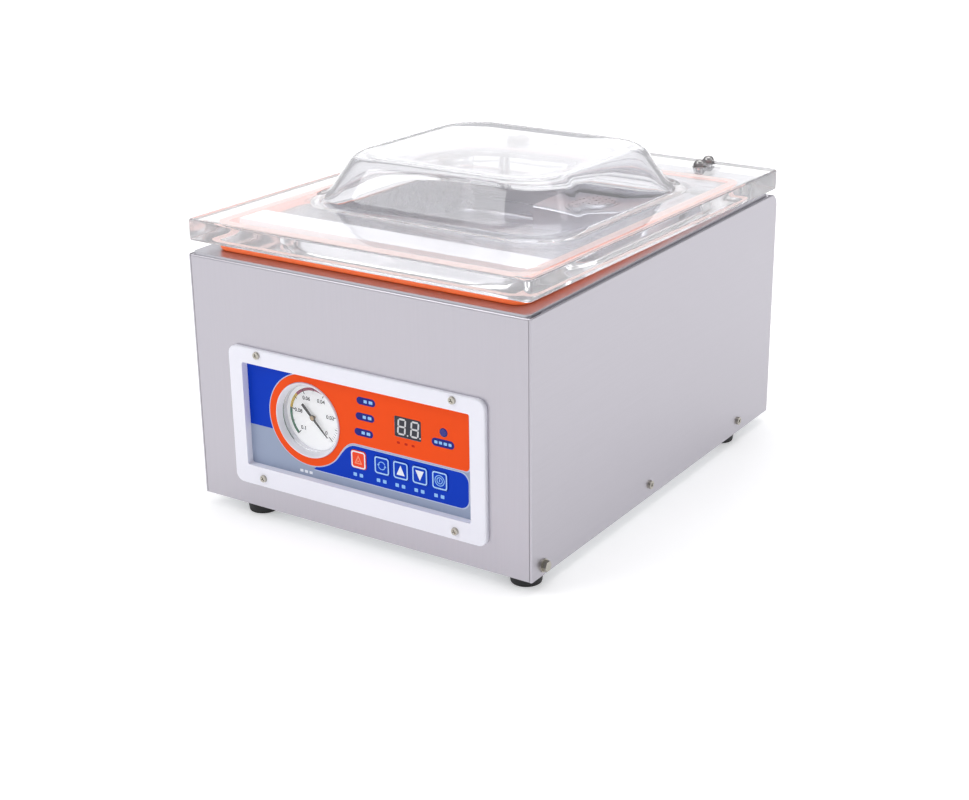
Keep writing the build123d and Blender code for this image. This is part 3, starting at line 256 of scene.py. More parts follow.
M["display"] = plastic("display_window", lin(58, 60, 68), 0.4, 0.0, 2600.0, 1.5e-6, 0.08, Specular_IOR_Level=0.2)
M["digit"] = plastic("display_digit", lin(214, 214, 216), 0.45, 0.0, 2600.0, 1.5e-6, 0.03, Specular_IOR_Level=0.3)
M["lens_blue"] = plastic("lens_blue", lin(36, 38, 138), 0.22, 0.2, 2000.0, 1.5e-6, 0.06, Specular_IOR_Level=0.3)
M["board"] = plastic("board_green", lin(20, 96, 52), 0.38, 0.4, 900.0, 1.2e-5, 0.15)
M["gauge_white"] = plastic("gauge_white", lin(232, 232, 240), 0.3, 0.2, 1500.0, 2.5e-6, 0.012)
# the dial's white emission is a painted glow: it brightens the dial, which lies in the shade of the gauge glass and the
# case rim
M["dial"] = plastic("dial_white", lin(250, 251, 253), 0.5, 0.0, 2600.0, 2.0e-6, 0.005, Specular_IOR_Level=0.3, Emission_Color=(1.0, 1.0, 1.0), Emission_Strength=0.16)
M["dial_black"] = plastic("dial_black", lin(14, 15, 18), 0.5, 0.0, 2600.0, 2.0e-6, 0.06)
M["dial_green"] = plastic("dial_green", lin(12, 112, 78), 0.5, 0.0, 2600.0, 2.0e-6, 0.05)
M["dial_yellow"] = plastic("dial_yellow", lin(236, 196, 40), 0.5, 0.0, 2600.0, 2.0e-6, 0.04)
M["dial_red"] = plastic("dial_red", lin(168, 34, 84), 0.5, 0.0, 2600.0, 2.0e-6, 0.05)
M["needle"] = plastic("needle_black", lin(12, 12, 14), 0.5, 0.0, 1500.0, 2.0e-6, 0.08, Specular_IOR_Level=0.2)
M["brass"] = cast("brass", lin(178, 156, 124), 0.3, 1.0, 1300.0, 6.0e-6, 0.06)
M["zinc"] = cast("zinc_steel", lin(182, 178, 168), 0.28, 1.0, 1500.0, 4.0e-6, 0.08)
M["chrome"] = cast("bright_nut_steel", lin(172, 170, 170), 0.2, 1.0, 1800.0, 1.5e-6, 0.05)
M["hinge"] = cast("hinge_steel", lin(190, 190, 194), 0.34, 1.0, 1100.0, 8.0e-6, 0.07)
M["spring"] = cast("spring_steel", lin(178, 178, 184), 0.28, 1.0, 1400.0, 6.0e-6, 0.08)
M["aluminium"] = brushed("aluminium_bar", lin(212, 213, 216), 0.36, "X", 900.0)
M["nichrome"] = brushed("nichrome", lin(168, 160, 150), 0.33, "X", 1500.0)
M["rubber"] = cast("rubber_black", lin(20, 20, 22), 0.62, 0.0, 1600.0, 1.4e-5, 0.25)
M["rubber_red"] = cast("rubber_red", lin(178, 52, 36), 0.55, 0.0, 1500.0, 1.2e-5, 0.1)
M["pump"] = cast("pump_cast", lin(96, 104, 112), 0.52, 0.6, 700.0, 9.0e-5, 0.18)
M["motor"] = cast("motor_paint", lin(58, 72, 92), 0.42, 0.0, 1000.0, 3.0e-5, 0.1)
M["fan"] = plastic("fan_plastic", lin(30, 32, 34), 0.42, 0.0, 1200.0, 8.0e-6, 0.1)
M["cover_black"] = cast("cover_black", lin(28, 29, 31), 0.5, 0.0, 1100.0, 3.0e-5, 0.15)
M["core"] = None
c = Mat("core_steel").put(Metallic=0.85)
lam = c.wave(320.0, "Y", 0.4)
c.tone(lam, lin(92, 90, 88), lin(140, 138, 134), 0.2, 0.8)
c.rough(c.noise(200.0, 3.0), 0.4, 0.6)
c.bump(lam, 5.0e-5)
M["core"] = c.m
c = Mat("copper_winding").put(Metallic=1.0)
lam = c.wave(260.0, "Z", 0.8)
c.tone(lam, lin(150, 84, 44), lin(205, 128, 76), 0.2, 0.8)
c.rough(c.noise(300.0, 3.0), 0.3, 0.45)
c.bump(lam, 1.2e-4)
M["copper"] = c.m
M["valve"] = plastic("valve_black", lin(26, 27, 30), 0.36, 0.2, 1200.0, 1.0e-5, 0.1)
M["filter"] = cast("filter_paint", lin(212, 214, 216), 0.4, 0.0, 1100.0, 1.5e-5, 0.05)
M["black_plastic"] = plastic("black_plastic", lin(24, 24, 26), 0.4, 0.1, 1300.0, 1.6e-5, 0.12)
M["rocker"] = plastic("rocker_red", lin(196, 24, 20), 0.26, 0.5, 1500.0, 4.0e-6, 0.06)
# brown release tape: woven glass cloth under its coating
c = Mat("release_tape").put(Coat_Weight=0.25, Coat_Roughness=0.25)
w = c.math("MULTIPLY", c.wave(900.0, "X"), c.wave(900.0, "Y"))
c.tone(w, lin(120, 84, 52), lin(168, 124, 82), 0.1, 0.7)
c.rough(w, 0.36, 0.52, 0.1, 0.7)
c.bump(w, 4.0e-5)
M["tape"] = c.m
# silicone and rubber soft parts
# the gasket's orange emission is a painted glow: it brightens the gasket's front, which lies in shade under the lid,
# and stands in for light coming through the acrylic; the subsurface scattering is the silicone's own translucency
c = Mat("gasket_orange").put(Emission_Color=lin(255, 118, 58), Emission_Strength=0.32, Subsurface_Weight=0.18, Subsurface_Radius=(0.004, 0.0012, 0.0006), Subsurface_Scale=0.8)
n = c.noise(40.0, 4.0, 0.6)
c.tone(n, lin(236, 98, 52), lin(248, 120, 70))
c.rough(c.noise(700.0, 3.0), 0.36, 0.52)
c.bump(c.noise(900.0, 3.0), 1.2e-5)
M["gasket"] = c.m
# pale pink colour of the sheet over the gasket's top is a painted reflection of the whitish look of the gasket seen
# through the lid
M["film"] = plastic("gasket_top_painted_reflection", lin(240, 212, 206), 0.5, 0.0, 900.0, 6.0e-6, 0.03)
# the strip holder's white emission is a painted glow: it makes the white bar under the lid brighter than the light
# reaching it there
M["strip_white"] = plastic("strip_white", lin(250, 250, 252), 0.42, 0.1, 1200.0, 8.0e-6, 0.01, Emission_Color=(1.0, 1.0, 1.0), Emission_Strength=0.12)
M["silicone_white"] = plastic("silicone_white", lin(232, 232, 228), 0.5, 0.0, 900.0, 1.4e-5, 0.03, Subsurface_Weight=0.1)
c = Mat("air_bladder_rubber").put()
c.tone(c.noise(60.0, 4.0), lin(150, 40, 30), lin(186, 60, 42))
c.rough(c.noise(500.0, 3.0), 0.45, 0.62)
c.bump(c.noise(1200.0, 3.0), 1.5e-5)
M["bladder"] = c.m
# oil behind its sight glass
c = Mat("oil_glass").put(Coat_Weight=1.0, Coat_Roughness=0.03)
c.tone(c.noise(220.0, 3.0), lin(168, 112, 30), lin(204, 150, 60))
c.rough(c.noise(400.0, 2.0), 0.08, 0.16)
c.bump(c.noise(300.0, 2.0), 4.0e-6)
M["oil"] = c.m


def clear(name, tint, rough, ior, haze=0.0, bump=1.5e-6, bump_scale=30.0):
    """Clear plastic or glass with a faint polish pattern in its roughness and surface."""
    m = Mat(name).put(Transmission_Weight=1.0 - haze, IOR=ior)
    n = m.noise(26.0, 3.0, 0.55)
    m.tone(n, shade(tint, 0.995), tint)
    fine = m.noise(420.0, 3.0, 0.6)
    m.rough(m.math("ADD", m.math("MULTIPLY", n, 0.6), m.math("MULTIPLY", fine, 0.4)), max(0.0, rough * 0.4), rough * 1.6, 0.3, 0.7)
    m.bump(m.noise(bump_scale, 2.0, 0.4), bump)
    # light reaches what lies behind the clear wall
    lp = m.t.nodes.new("ShaderNodeLightPath")
    tr = m.t.nodes.new("ShaderNodeBsdfTransparent")
    tr.inputs["Color"].default_value = (*shade(tint, 0.95), 1.0)
    mx = m.t.nodes.new("ShaderNodeMixShader")
    m.t.links.new(lp.outputs["Is Shadow Ray"], mx.inputs[0])
    m.t.links.new(m.b.outputs[0], mx.inputs[1])
    m.t.links.new(tr.outputs[0], mx.inputs[2])
    m.t.links.new(mx.outputs[0], m.out.inputs[0])
    return m.m


M["acrylic"] = clear("clear_acrylic", (0.93, 0.93, 0.945), 0.012, 1.49, 0.11, 5.0e-6, 16.0)
M["gauge_glass"] = clear("gauge_glass", (0.99, 0.99, 0.99), 0.01, 1.45, 0.0, 1.0e-6)

NODE_MAT = {
    "air_bladder": "bladder", "air_valve": "valve", "base_plate": "galvanised", "bezel_screws": "zinc", "chamber_bowl": "bowl",
    "control_bezel": "bezel", "control_board": "board", "cooling_fan": "fan", "deck": "deck", "display_module": "display",
    "exhaust_filter": "filter", "fan_cover": "cover_black", "foot_screws": "zinc", "front_panel": "cover_front",
    "fuse_holder": "black_plastic", "gauge_case": "gauge_white", "gauge_dial": "dial", "gauge_glass": "gauge_glass",
    "gauge_movement": "brass", "gauge_needle": "needle", "heating_ribbon": "nichrome", "hinge_arms": "hinge",
    "hinge_brackets": "hinge", "hinge_pins": "zinc", "hoses": "rubber_red", "indicator_lens": "lens_blue", "inlet_pins": "zinc",
    "key_down": "key_blue", "key_set": "key_blue", "key_start": "key_blue", "key_stop": "key_orange", "key_up": "key_blue",
    "left_side_cover": "cover_side", "lid_domed_nuts": "chrome", "lid_gasket": "gasket", "lid_lift_springs": "spring",
    "lid_plate": "acrylic", "motor_shaft": "zinc", "oil_sight_glass": "oil", "panel_overlay": "panel",
    "power_inlet": "black_plastic", "power_rocker": "rocker", "pump_motor": "motor", "pump_mounts": "rubber",
    "rear_panel": "cover_front", "rear_screws": "zinc", "release_tape": "tape", "right_side_cover": "cover_side",
    "rubber_feet": "rubber", "seal_bar": "aluminium", "seal_bar_guides": "zinc", "seal_strip_holder": "strip_white",
    "side_cover_screws": "zinc", "silicone_strip": "silicone_white", "suction_box": "suction", "suction_strainer": "suction",
    "switch_frame": "black_plastic", "transformer_core": "core", "transformer_winding": "copper", "vacuum_pump": "pump",
}
BODY_OF = {}
for name, ob in NODES.items():
    ob.data.materials.clear()
    ob.data.materials.append(M[NODE_MAT[name]])


# ------------------------------------------------------------ mesh tools ----
def finish_mesh(name, bm, mat, body, angle=32.0, smooth=True):
    bmesh.ops.recalc_face_normals(bm, faces=bm.faces)
    me = bpy.data.meshes.new(name)
    bm.to_mesh(me)
    bm.free()
    if smooth:
        me.shade_smooth()
        me.set_sharp_from_angle(angle=radians(angle))
    ob = bpy.data.objects.new(name, me)
    ob.data.materials.append(M[mat])
    col.objects.link(ob)
    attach(ob, body)
    return ob


def loft(rings, closed_loft=False, cap_start=False, cap_end=False):
    """Skins a list of equally long point rings with quads; caps with a fan to a centre point."""
    bm = bmesh.new()
    V = [[bm.verts.new(p) for p in ring] for ring in rings]
    n = len(rings[0])
    pairs = list(zip(V[:-1], V[1:]))
    if closed_loft:
        pairs.append((V[-1], V[0]))
    for a, b in pairs:
        for i in range(n):
            j = (i + 1) % n
            bm.faces.new((a[i], a[j], b[j], b[i]))
    for flag, ring in ((cap_start, V[0]), (cap_end, V[-1])):
        if flag:
            c = bm.verts.new(sum((v.co for v in ring), Vector()) / n)
            for i in range(n):
                bm.faces.new((ring[i], ring[(i + 1) % n], c))
    return bm


def rrect(ax, ay, r, nc=14, nx=18, ny=22):
    """Rounded rectangle about the origin: (x, y) points, the same count for any size."""
    r = max(0.0, min(r, ax * 0.999, ay * 0.999))
    pts = []
    for k, (cx, cy) in enumerate(((ax - r, ay - r), (-ax + r, ay - r), (-ax + r, -ay + r), (ax - r, -ay + r))):
        for i in range(nc + 1):
            a = radians(90 * k + 90 * i / nc)
            pts.append((cx + r * cos(a), cy + r * sin(a)))
        nxt = ((-ax + r, ay), (-ax, -ay + r), (ax - r, -ay), (ax, ay - r))[k]
        x0, y0 = pts[-1]
        m = nx if k % 2 == 0 else ny
        for i in range(1, m):
            pts.append((x0 + (nxt[0] - x0) * i / m, y0 + (nxt[1] - y0) * i / m))
    return pts


TILT = radians(1.11)
LY, LZ, LT = -1.3, 225.0, 17.7


def L(x, s, h):
    """Lid coordinates (s back from the front edge, h above the underside) to metres."""
    return P(x, LY + s * cos(TILT) + h * sin(TILT), LZ - s * sin(TILT) + h * cos(TILT))


def smooth01(t):
    return t * t * (3 - 2 * t)


# --------------------------------------------------------- lid and dome -----
SC = 217.3                     # centre of the dome
LHX, LHY = 164.1, 214.95
GAP = 0.06                     # the underside stands this far off what is bolted to it
TOPX, TOPY, TOPR = 105.5, 101.5, 30.0


def outer_profile():
    """(half x, half y, corner radius, height, centre) rings from the crown outwards and down."""
    rings = []
    # crown, swelling towards the middle
    for u in (0.02, 0.06, 0.12, 0.2, 0.3, 0.4, 0.5, 0.6, 0.68, 0.75, 0.81, 0.85):
        h = 59.7 - 4.1 * u ** 2.4
        rings.append((TOPX * u, TOPY * u, 6 + 30 * u ** 0.9, h, SC))
    # the shoulder: an arc from the crown's slope over to the wall
    wall = radians(59.0)       # slope of the wall below the horizontal
    r_sh = 20.0
    a0 = radians(7.0)
    x_end, h_start = 0.879, 59.7 - 4.1 * 0.879 ** 2.4
    bx, by = TOPX * x_end, TOPY * x_end
    for i in range(1, 11):
        a = a0 + (wall - a0) * i / 10
        out = r_sh * (sin(a) - sin(a0))
        down = r_sh * (cos(a0) - cos(a))
        rings.append((bx + out, by + out, 33.0 + out * 0.8, h_start - down, SC))
    ex, ey, er, eh, _ = rings[-1]
    # straight wall down to the flare
    r_ft = 18.0
    foot_h = LT + r_ft * (1 - cos(wall))
    drop = eh - foot_h
    run = drop / tan(wall)
    for i in range(1, 8):
        t = i / 7
        rings.append((ex + run * t, ey + run * t, er + (run * 0.55) * t, eh - drop * t, SC))
    fx, fy, fr, fh, _ = rings[-1]
    # concave flare into the plate
    for i in range(1, 11):
        a = wall * (1 - i / 10)
        out = r_ft * (sin(wall) - sin(a))
        h = LT + r_ft * (1 - cos(a))
        rings.append((fx + out, fy + out, fr + out * 0.35, h, SC))
    return rings


def ring_pts(spec):
    ax, ay, r, h, sc = spec
    return [L(x, sc + y, h) for x, y in rrect(ax, ay, r)]


outer = outer_profile()
fx, fy, fr, _, _ = outer[-1]
plate = []
for t in (0.12, 0.3, 0.5, 0.7, 0.88):
    e = smooth01(t) * 0.4 + t * 0.6
    plate.append((fx + (LHX - 2.2 - fx) * e, fy + (LHY - 2.2 - fy) * e, fr + (4.0 - fr) * e, LT, SC + (LHY - SC) * e))
edge = []
for i in range(0, 7):          # rolled upper edge
    a = radians(90 - 15 * i)
    edge.append((LHX - 2.0 + 2.0 * cos(a), LHY - 2.0 + 2.0 * cos(a), 3.0 + 2.0 * cos(a), LT - 2.0 + 2.0 * sin(a), LHY))
for h in (12.0, 8.0, 4.0):
    edge.append((LHX, LHY, 5.0, h, LHY))
for i in range(0, 5):          # small break of the lower edge
    a = radians(90 * i / 4)
    edge.append((LHX - 0.7 + 0.7 * cos(a), LHY - 0.7 + 0.7 * cos(a), 4.3 + 0.7 * cos(a), GAP + 0.7 - 0.7 * sin(a), LHY))
IFX, IFY, IFR = 127.0, 124.0, 42.0
under = []
for t in (0.15, 0.4, 0.65, 0.88):
    e = t
    under.append((LHX - 0.7 + (IFX + 4 - LHX + 0.7) * e, LHY - 0.7 + (IFY + 4 - LHY + 0.7) * e, 4.3 + (IFR + 4 - 4.3) * e, GAP, LHY + (SC - LHY) * e))
inner = []
for i in range(0, 7):          # rounded mouth of the cavity
    a = radians(15 * i)
    inner.append((IFX + 4 - 4 * sin(a), IFY + 4 - 4 * sin(a), IFR + 4 - 4 * sin(a), GAP + 4 - 4 * cos(a), SC))
# inside of the walls: straight up through the plate, then along the outer wall, 4.5 mm inside it
inner.append((IFX - 0.6, IFY - 0.6, IFR - 0.6, 9.0, SC))
WALLT = 4.4
shell = []
for k in range(len(outer)):
    ax, ay, r, h, sc = outer[k]
    if k == 0:
        nxt, prv = outer[k + 1], outer[k]
    elif k == len(outer) - 1:
        nxt, prv = outer[k], outer[k - 1]
    else:
        nxt, prv = outer[k + 1], outer[k - 1]
    dx, dh = nxt[0] - prv[0], nxt[3] - prv[3]
    ln = sqrt(dx * dx + dh * dh) or 1.0
    nx_, nh = dh / ln, -dx / ln          # towards the inside
    shell.append((ax + nx_ * WALLT, ay + nx_ * WALLT, max(3.0, r + nx_ * WALLT), h + nh * WALLT, sc))
shell = [s for s in shell if s[3] > 15.5 and s[0] > 1.0 and s[0] < IFX - 2.0]
inner += list(reversed(shell))
rings = [ring_pts(s) for s in outer + plate + edge + under + inner]
bm = loft(rings, cap_start=True, cap_end=True)
lid = finish_mesh("lid_and_dome", bm, "acrylic", "lid", 38.0)
# stud holes
cut = bmesh.new()
for sx in (-1, 1):
    for s in (398.3, 416.3):
        n = 48
        lo = [cut.verts.new(L(sx * 100 + 3.3 * cos(2 * pi * i / n), s + 3.3 * sin(2 * pi * i / n), -3)) for i in range(n)]
        hi = [cut.verts.new(L(sx * 100 + 3.3 * cos(2 * pi * i / n), s + 3.3 * sin(2 * pi * i / n), LT + 3)) for i in range(n)]
        for i in range(n):
            j = (i + 1) % n
            cut.faces.new((lo[i], lo[j], hi[j], hi[i]))
        cut.faces.new(list(reversed(lo)))
        cut.faces.new(hi)
bmesh.ops.recalc_face_normals(cut, faces=cut.faces)
cme = bpy.data.meshes.new("hole_cutter")
cut.to_mesh(cme)
cut.free()
cob = bpy.data.objects.new("hole_cutter", cme)
col.objects.link(cob)
md = lid.modifiers.new("holes", "BOOLEAN")
md.operation = "DIFFERENCE"
md.solver = "EXACT"
md.object = cob
bpy.context.view_layer.update()
dg = bpy.context.evaluated_depsgraph_get()
new_me = bpy.data.meshes.new_from_object(lid.evaluated_get(dg))
lid.modifiers.clear()
lid.data = new_me
bpy.data.objects.remove(cob)
lid.data.shade_smooth()
lid.data.set_sharp_from_angle(angle=radians(38.0))
lid.data.materials.clear()
lid.data.materials.append(M["acrylic"])
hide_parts("lid_plate")

# gasket: soft frame pressed against the lid's underside, its lip rounded
GX, GY0, GY1, GW = 150.0, 14.0, 382.0, 8.0
gc = (GY0 + GY1) / 2 - LY


def deck_h(s):
    """Height of the deck's face, in lid coordinates, at s."""
    return (215.15 - LZ + s * sin(TILT)) / cos(TILT)


prof = []
for i in range(0, 9):
    a = radians(180 + 180 * i / 8)
    prof.append((-GW / 2 + GW / 2 + GW / 2 * cos(a), 1.0 + sin(a)))
grs = []
base_pts = rrect(GX - GW / 2, (GY1 - GY0) / 2 - GW / 2, 10.0, 12, 30, 36)


def offset_ring(d, hf):
    pts = rrect(GX - GW / 2 + d, (GY1 - GY0) / 2 - GW / 2 + d, 10.0 + d, 12, 30, 36)
    out = []
    for x, y in pts:
        s = gc + y
        lo = deck_h(s)
        out.append(L(x, s, lo + (0.11 - lo) * hf))
    return out


def deck_ring(d, drop):
    pts = rrect(GX - GW / 2 + d, (GY1 - GY0) / 2 - GW / 2 + d, 10.0 + d, 12, 30, 36)
    return [L(x, gc + y, deck_h(gc + y) + drop) for x, y in pts]


grs = [offset_ring(-4.0, 1.0), offset_ring(-4.0, 0.62), deck_ring(-3.8, 2.0), deck_ring(-3.2, 0.9), deck_ring(-2.2, 0.25), deck_ring(-1.0, 0.0),
       deck_ring(1.0, 0.0), deck_ring(2.2, 0.25), deck_ring(3.2, 0.9), deck_ring(3.8, 2.0), offset_ring(4.0, 0.62), offset_ring(4.0, 1.0)]
bm = loft(grs, closed_loft=True)
gasket = finish_mesh("gasket_frame", bm, "gasket", "lid", 50.0)
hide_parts("lid_gasket")

# pale sheet over the gasket's top, a painted reflection: its colour stands in for the whitish look of the gasket's top
# seen through the lid
def film_ring(d, h):
    return [L(x, gc + y, h) for x, y in rrect(GX - GW / 2 + d, (GY1 - GY0) / 2 - GW / 2 + d, 10.0 + d, 12, 30, 36)]


bm = loft([film_ring(-4.03, 0.14), film_ring(-4.03, -0.1), film_ring(4.03, -0.1), film_ring(4.03, 0.14)], closed_loft=True)
finish_mesh("gasket_top_painted_reflection", bm, "film", "lid", 30.0)

# seal strip holder under the lid, edges broken, with its slot
SY = 52.0 - LY


def bar_section(pts, x0, x1, n=24, name="bar", mat="strip_white", body="lid", angle=30.0, ends=1.2):
    """A straight extrusion along x of a closed (s, h) section, its ends drawn in a little."""
    cs = sum(p[0] for p in pts) / len(pts)
    ch = sum(p[1] for p in pts) / len(pts)
    rings = []
    xs = [x0, x0 + ends * 0.3, x0 + ends] + [x0 + ends + (x1 - x0 - 2 * ends) * i / n for i in range(1, n)] + [x1 - ends, x1 - ends * 0.3, x1]
    for x in xs:
        e = min(x - x0, x1 - x)
        k = 1.0 if e >= ends else 1.0 - 0.06 * (1 - e / ends) ** 2
        rings.append([L(x, cs + (s - cs) * k, ch + (h - ch) * k) for s, h in pts])
    bm = bmesh.new()
    V = [[bm.verts.new(p) for p in r] for r in rings]
    m = len(pts)
    for a, b in zip(V[:-1], V[1:]):
        for i in range(m):
            bm.faces.new((a[i], a[(i + 1) % m], b[(i + 1) % m], b[i]))
    bm.faces.new(V[0])
    bm.faces.new(list(reversed(V[-1])))
    return finish_mesh(name, bm, mat, body, angle)


def rsec(s0, s1, h0, h1, r, n=5):
    pts = []
    for k, (cx, cy) in enumerate(((s1 - r, h1 - r), (s0 + r, h1 - r), (s0 + r, h0 + r), (s1 - r, h0 + r))):
        for i in range(n + 1):
            a = radians(90 * k + 90 * i / n)
            pts.append((cx + r * cos(a), cy + r * sin(a)))
    return pts


hold = [(SY + 16, -0.05), (SY - 16, -0.05), (SY - 16, -6.8), (SY - 15.6, -7.6), (SY - 14.8, -8.0), (SY - 6.9, -8.0), (SY - 6.1, -7.4), (SY - 6.1, -4.0),
        (SY + 6.1, -4.0), (SY + 6.1, -7.4), (SY + 6.9, -8.0), (SY + 14.8, -8.0), (SY + 15.6, -7.6), (SY + 16, -6.8)]
holder = bar_section(hold, -140.4, 140.4, 24, "seal_strip_channel", "strip_white", "lid", 30.0, 1.0)
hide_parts("seal_strip_holder")

# domed nuts
def revolve_lid(name, cx, cs, prof, n=48, mat="chrome", hexes=()):
    bm = bmesh.new()
    rings = []
    for r, h in prof:
        rings.append([bm.verts.new(L(cx + r * cos(2 * pi * i / n), cs + r * sin(2 * pi * i / n), h)) for i in range(n)])
    for a, b in zip(rings[:-1], rings[1:]):
        for i in range(n):
            bm.faces.new((a[i], a[(i + 1) % n], b[(i + 1) % n], b[i]))
    for ring, flip in ((rings[0], False), (rings[-1], True)):
        c = bm.verts.new(sum((v.co for v in ring), Vector()) / n)
        for i in range(n):
            bm.faces.new((ring[i], ring[(i + 1) % n], c))
    return bm


def hexr(a, af, r):
    """Radius of a hexagon (half width across flats af) at angle a, kept inside the turned chamfer radius r."""
    k = (a + pi / 6) % (pi / 3) - pi / 6
    return min(af / cos(k), r)


nut_bm = bmesh.new()
for sx in (-1, 1):
    for s in (398.3, 416.3):
        n = 96
        cx = sx * 100.0
        prof = []
        # washer
        for r, h in ((3.0, LT), (6.4, LT), (6.6, LT + 0.2), (6.6, LT + 0.8), (6.4, LT + 1.0), (5.0, LT + 1.0)):
            prof.append([(r, h)] * n)
        AF = 4.85
        for lim, h in ((5.2, LT + 1.0), (5.6, LT + 1.35), (5.6, LT + 3.6), (5.25, LT + 4.1), (4.85, LT + 4.25)):
            prof.append([(hexr(2 * pi * i / n, AF, lim), h) for i in range(n)])
        for k in range(0, 9):
            a = radians(90 * k / 8)
            rr = 4.6 * cos(a)
            prof.append([(max(rr, 0.05), LT + 4.25 + 0.35 + 2.7 * sin(a))] * n)
        rings = []
        for row in prof:
            rings.append([nut_bm.verts.new(L(cx + row[i][0] * cos(2 * pi * i / n), s + row[i][0] * sin(2 * pi * i / n), row[i][1])) for i in range(n)])
        for a, b in zip(rings[:-1], rings[1:]):
            for i in range(n):
                nut_bm.faces.new((a[i], a[(i + 1) % n], b[(i + 1) % n], b[i]))
        for ring in (rings[0], rings[-1]):
            c = nut_bm.verts.new(sum((v.co for v in ring), Vector()) / n)
            for i in range(n):
                nut_bm.faces.new((ring[i], ring[(i + 1) % n], c))
nuts = finish_mesh("acorn_nuts", nut_bm, "chrome", "lid", 30.0)
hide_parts("lid_domed_nuts")

# ------------------------------------------------- flat printed shapes ------
def flat_shape(name, outlines, y_front, thick, mat, body, holes=()):
    """A thin printed layer: closed outlines in casing (x, z), its face at y_front, thick towards the rear."""
    cu = bpy.data.curves.new(name, "CURVE")
    cu.dimensions = "2D"
    cu.fill_mode = "BOTH"
    cu.extrude = thick / 2000.0
    for pts in outlines:
        sp = cu.splines.new("POLY")
        sp.points.add(len(pts) - 1)
        for i, (x, z) in enumerate(pts):
            sp.points[i].co = (x / 1000.0, z / 1000.0, 0.0, 1.0)
        sp.use_cyclic_u = True
    tmp = bpy.data.objects.new(name + "_tmp", cu)
    col.objects.link(tmp)
    bpy.context.view_layer.update()
    me = bpy.data.meshes.new_from_object(tmp.evaluated_get(bpy.context.evaluated_depsgraph_get()))
    bpy.data.objects.remove(tmp)
    mw = Matrix(((1, 0, 0, 0), (0, 0, -1, (y_front + thick / 2 - 213.0) / 1000.0), (0, 1, 0, 0.011), (0, 0, 0, 1)))
    me.transform(mw)
    bm = bmesh.new()
    bm.from_mesh(me)
    bmesh.ops.remove_doubles(bm, verts=bm.verts, dist=1e-7)
    bmesh.ops.recalc_face_normals(bm, faces=bm.faces)
    bm.to_mesh(me)
    bm.free()
    me.name = name
    me.materials.clear()
    me.materials.append(M[mat])
    ob = bpy.data.objects.new(name, me)
    col.objects.link(ob)
    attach(ob, body)
    return ob


def circ(cx, cz, r, n=96, a0=0.0, a1=360.0):
    full = abs(a1 - a0) >= 360
    k = n if full else n + 1
    return [(cx + r * cos(radians(a0 + (a1 - a0) * i / n)), cz + r * sin(radians(a0 + (a1 - a0) * i / n))) for i in range(k)]


def rr(cx, cz, w, h, r, n=8):
    pts = []
    for k, (x, z) in enumerate(((cx + w / 2 - r, cz + h / 2 - r), (cx - w / 2 + r, cz + h / 2 - r), (cx - w / 2 + r, cz - h / 2 + r), (cx + w / 2 - r, cz - h / 2 + r))):
        pts += circ(x, z, r, n, 90 * k, 90 * k + 90)
    return pts


def sector(cx, cz, r0, r1, a0, a1, n=40):
    return circ(cx, cz, r1, n, a0, a1) + circ(cx, cz, r0, n, a1, a0)


def bez(p0, p1, p2, p3, n=14):
    out = []
    for i in range(1, n + 1):
        t = i / n
        u = 1 - t
        out.append(tuple(u ** 3 * a + 3 * u * u * t * b + 3 * u * t * t * c_ + t ** 3 * d for a, b, c_, d in zip(p0, p1, p2, p3)))
    return out


lo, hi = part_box("panel_overlay")
OY = lo[1] * 1000 + 213.0                      # face of the printed panel
lo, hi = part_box("gauge_case")
GX0, GZ0 = (lo[0] + hi[0]) * 500, (lo[2] + hi[2]) * 500 - 11.0
RING_IN, RING_OUT = 32.7, 39.4
PT = 131.3                                     # top of the printed panel


def orange_outline(e):
    """Ring round the gauge and the band to its right, grown outwards by e."""
    ro = RING_OUT + e
    zb = 78.6 - e
    pts = [(GX0, PT)] + circ(GX0, GZ0, ro, 80, 90, 310)
    x0, z0 = pts[-1]
    # S-curve up to the band's lower edge
    pts += bez((x0, z0), (x0 + 6.7, z0 + 6.0), (-14.0, zb), (-2.0, zb), 18)
    xr, rc = 107.4 + e, 4.0
    pts += circ(xr - rc, zb + rc, rc, 10, 270, 360)
    pts += [(xr, PT)]
    return pts


def lower_outline(e):
    """Blue lower band with its rounded right end, starting at the ring's lower right."""
    zt, zb = 76.4 + e, 46.4 - e
    xr, rc = 106.2 + e, 8.0
    ro = RING_OUT + 0.9 - e
    arc = circ(GX0, GZ0, ro, 24, 279, 310)
    pts = [(arc[0][0] - 2.4, zb)] + arc
    x0, z0 = arc[-1]
    pts += bez((x0, z0), (x0 + 6.7, z0 + 5.6), (-13.5, zt), (-2.0, zt), 18)
    pts += [(xr - rc, zt)]
    pts += circ(xr - rc, zt - rc, rc, 10, 90, 0)
    pts += circ(xr - rc, zb + rc, rc, 10, 0, -90)
    return pts


def layer(name, outlines, level, mat):
    """Ink standing level mm proud of the printed panel."""
    return flat_shape(name, outlines, OY - level, level + 0.02, mat, "cabinet")


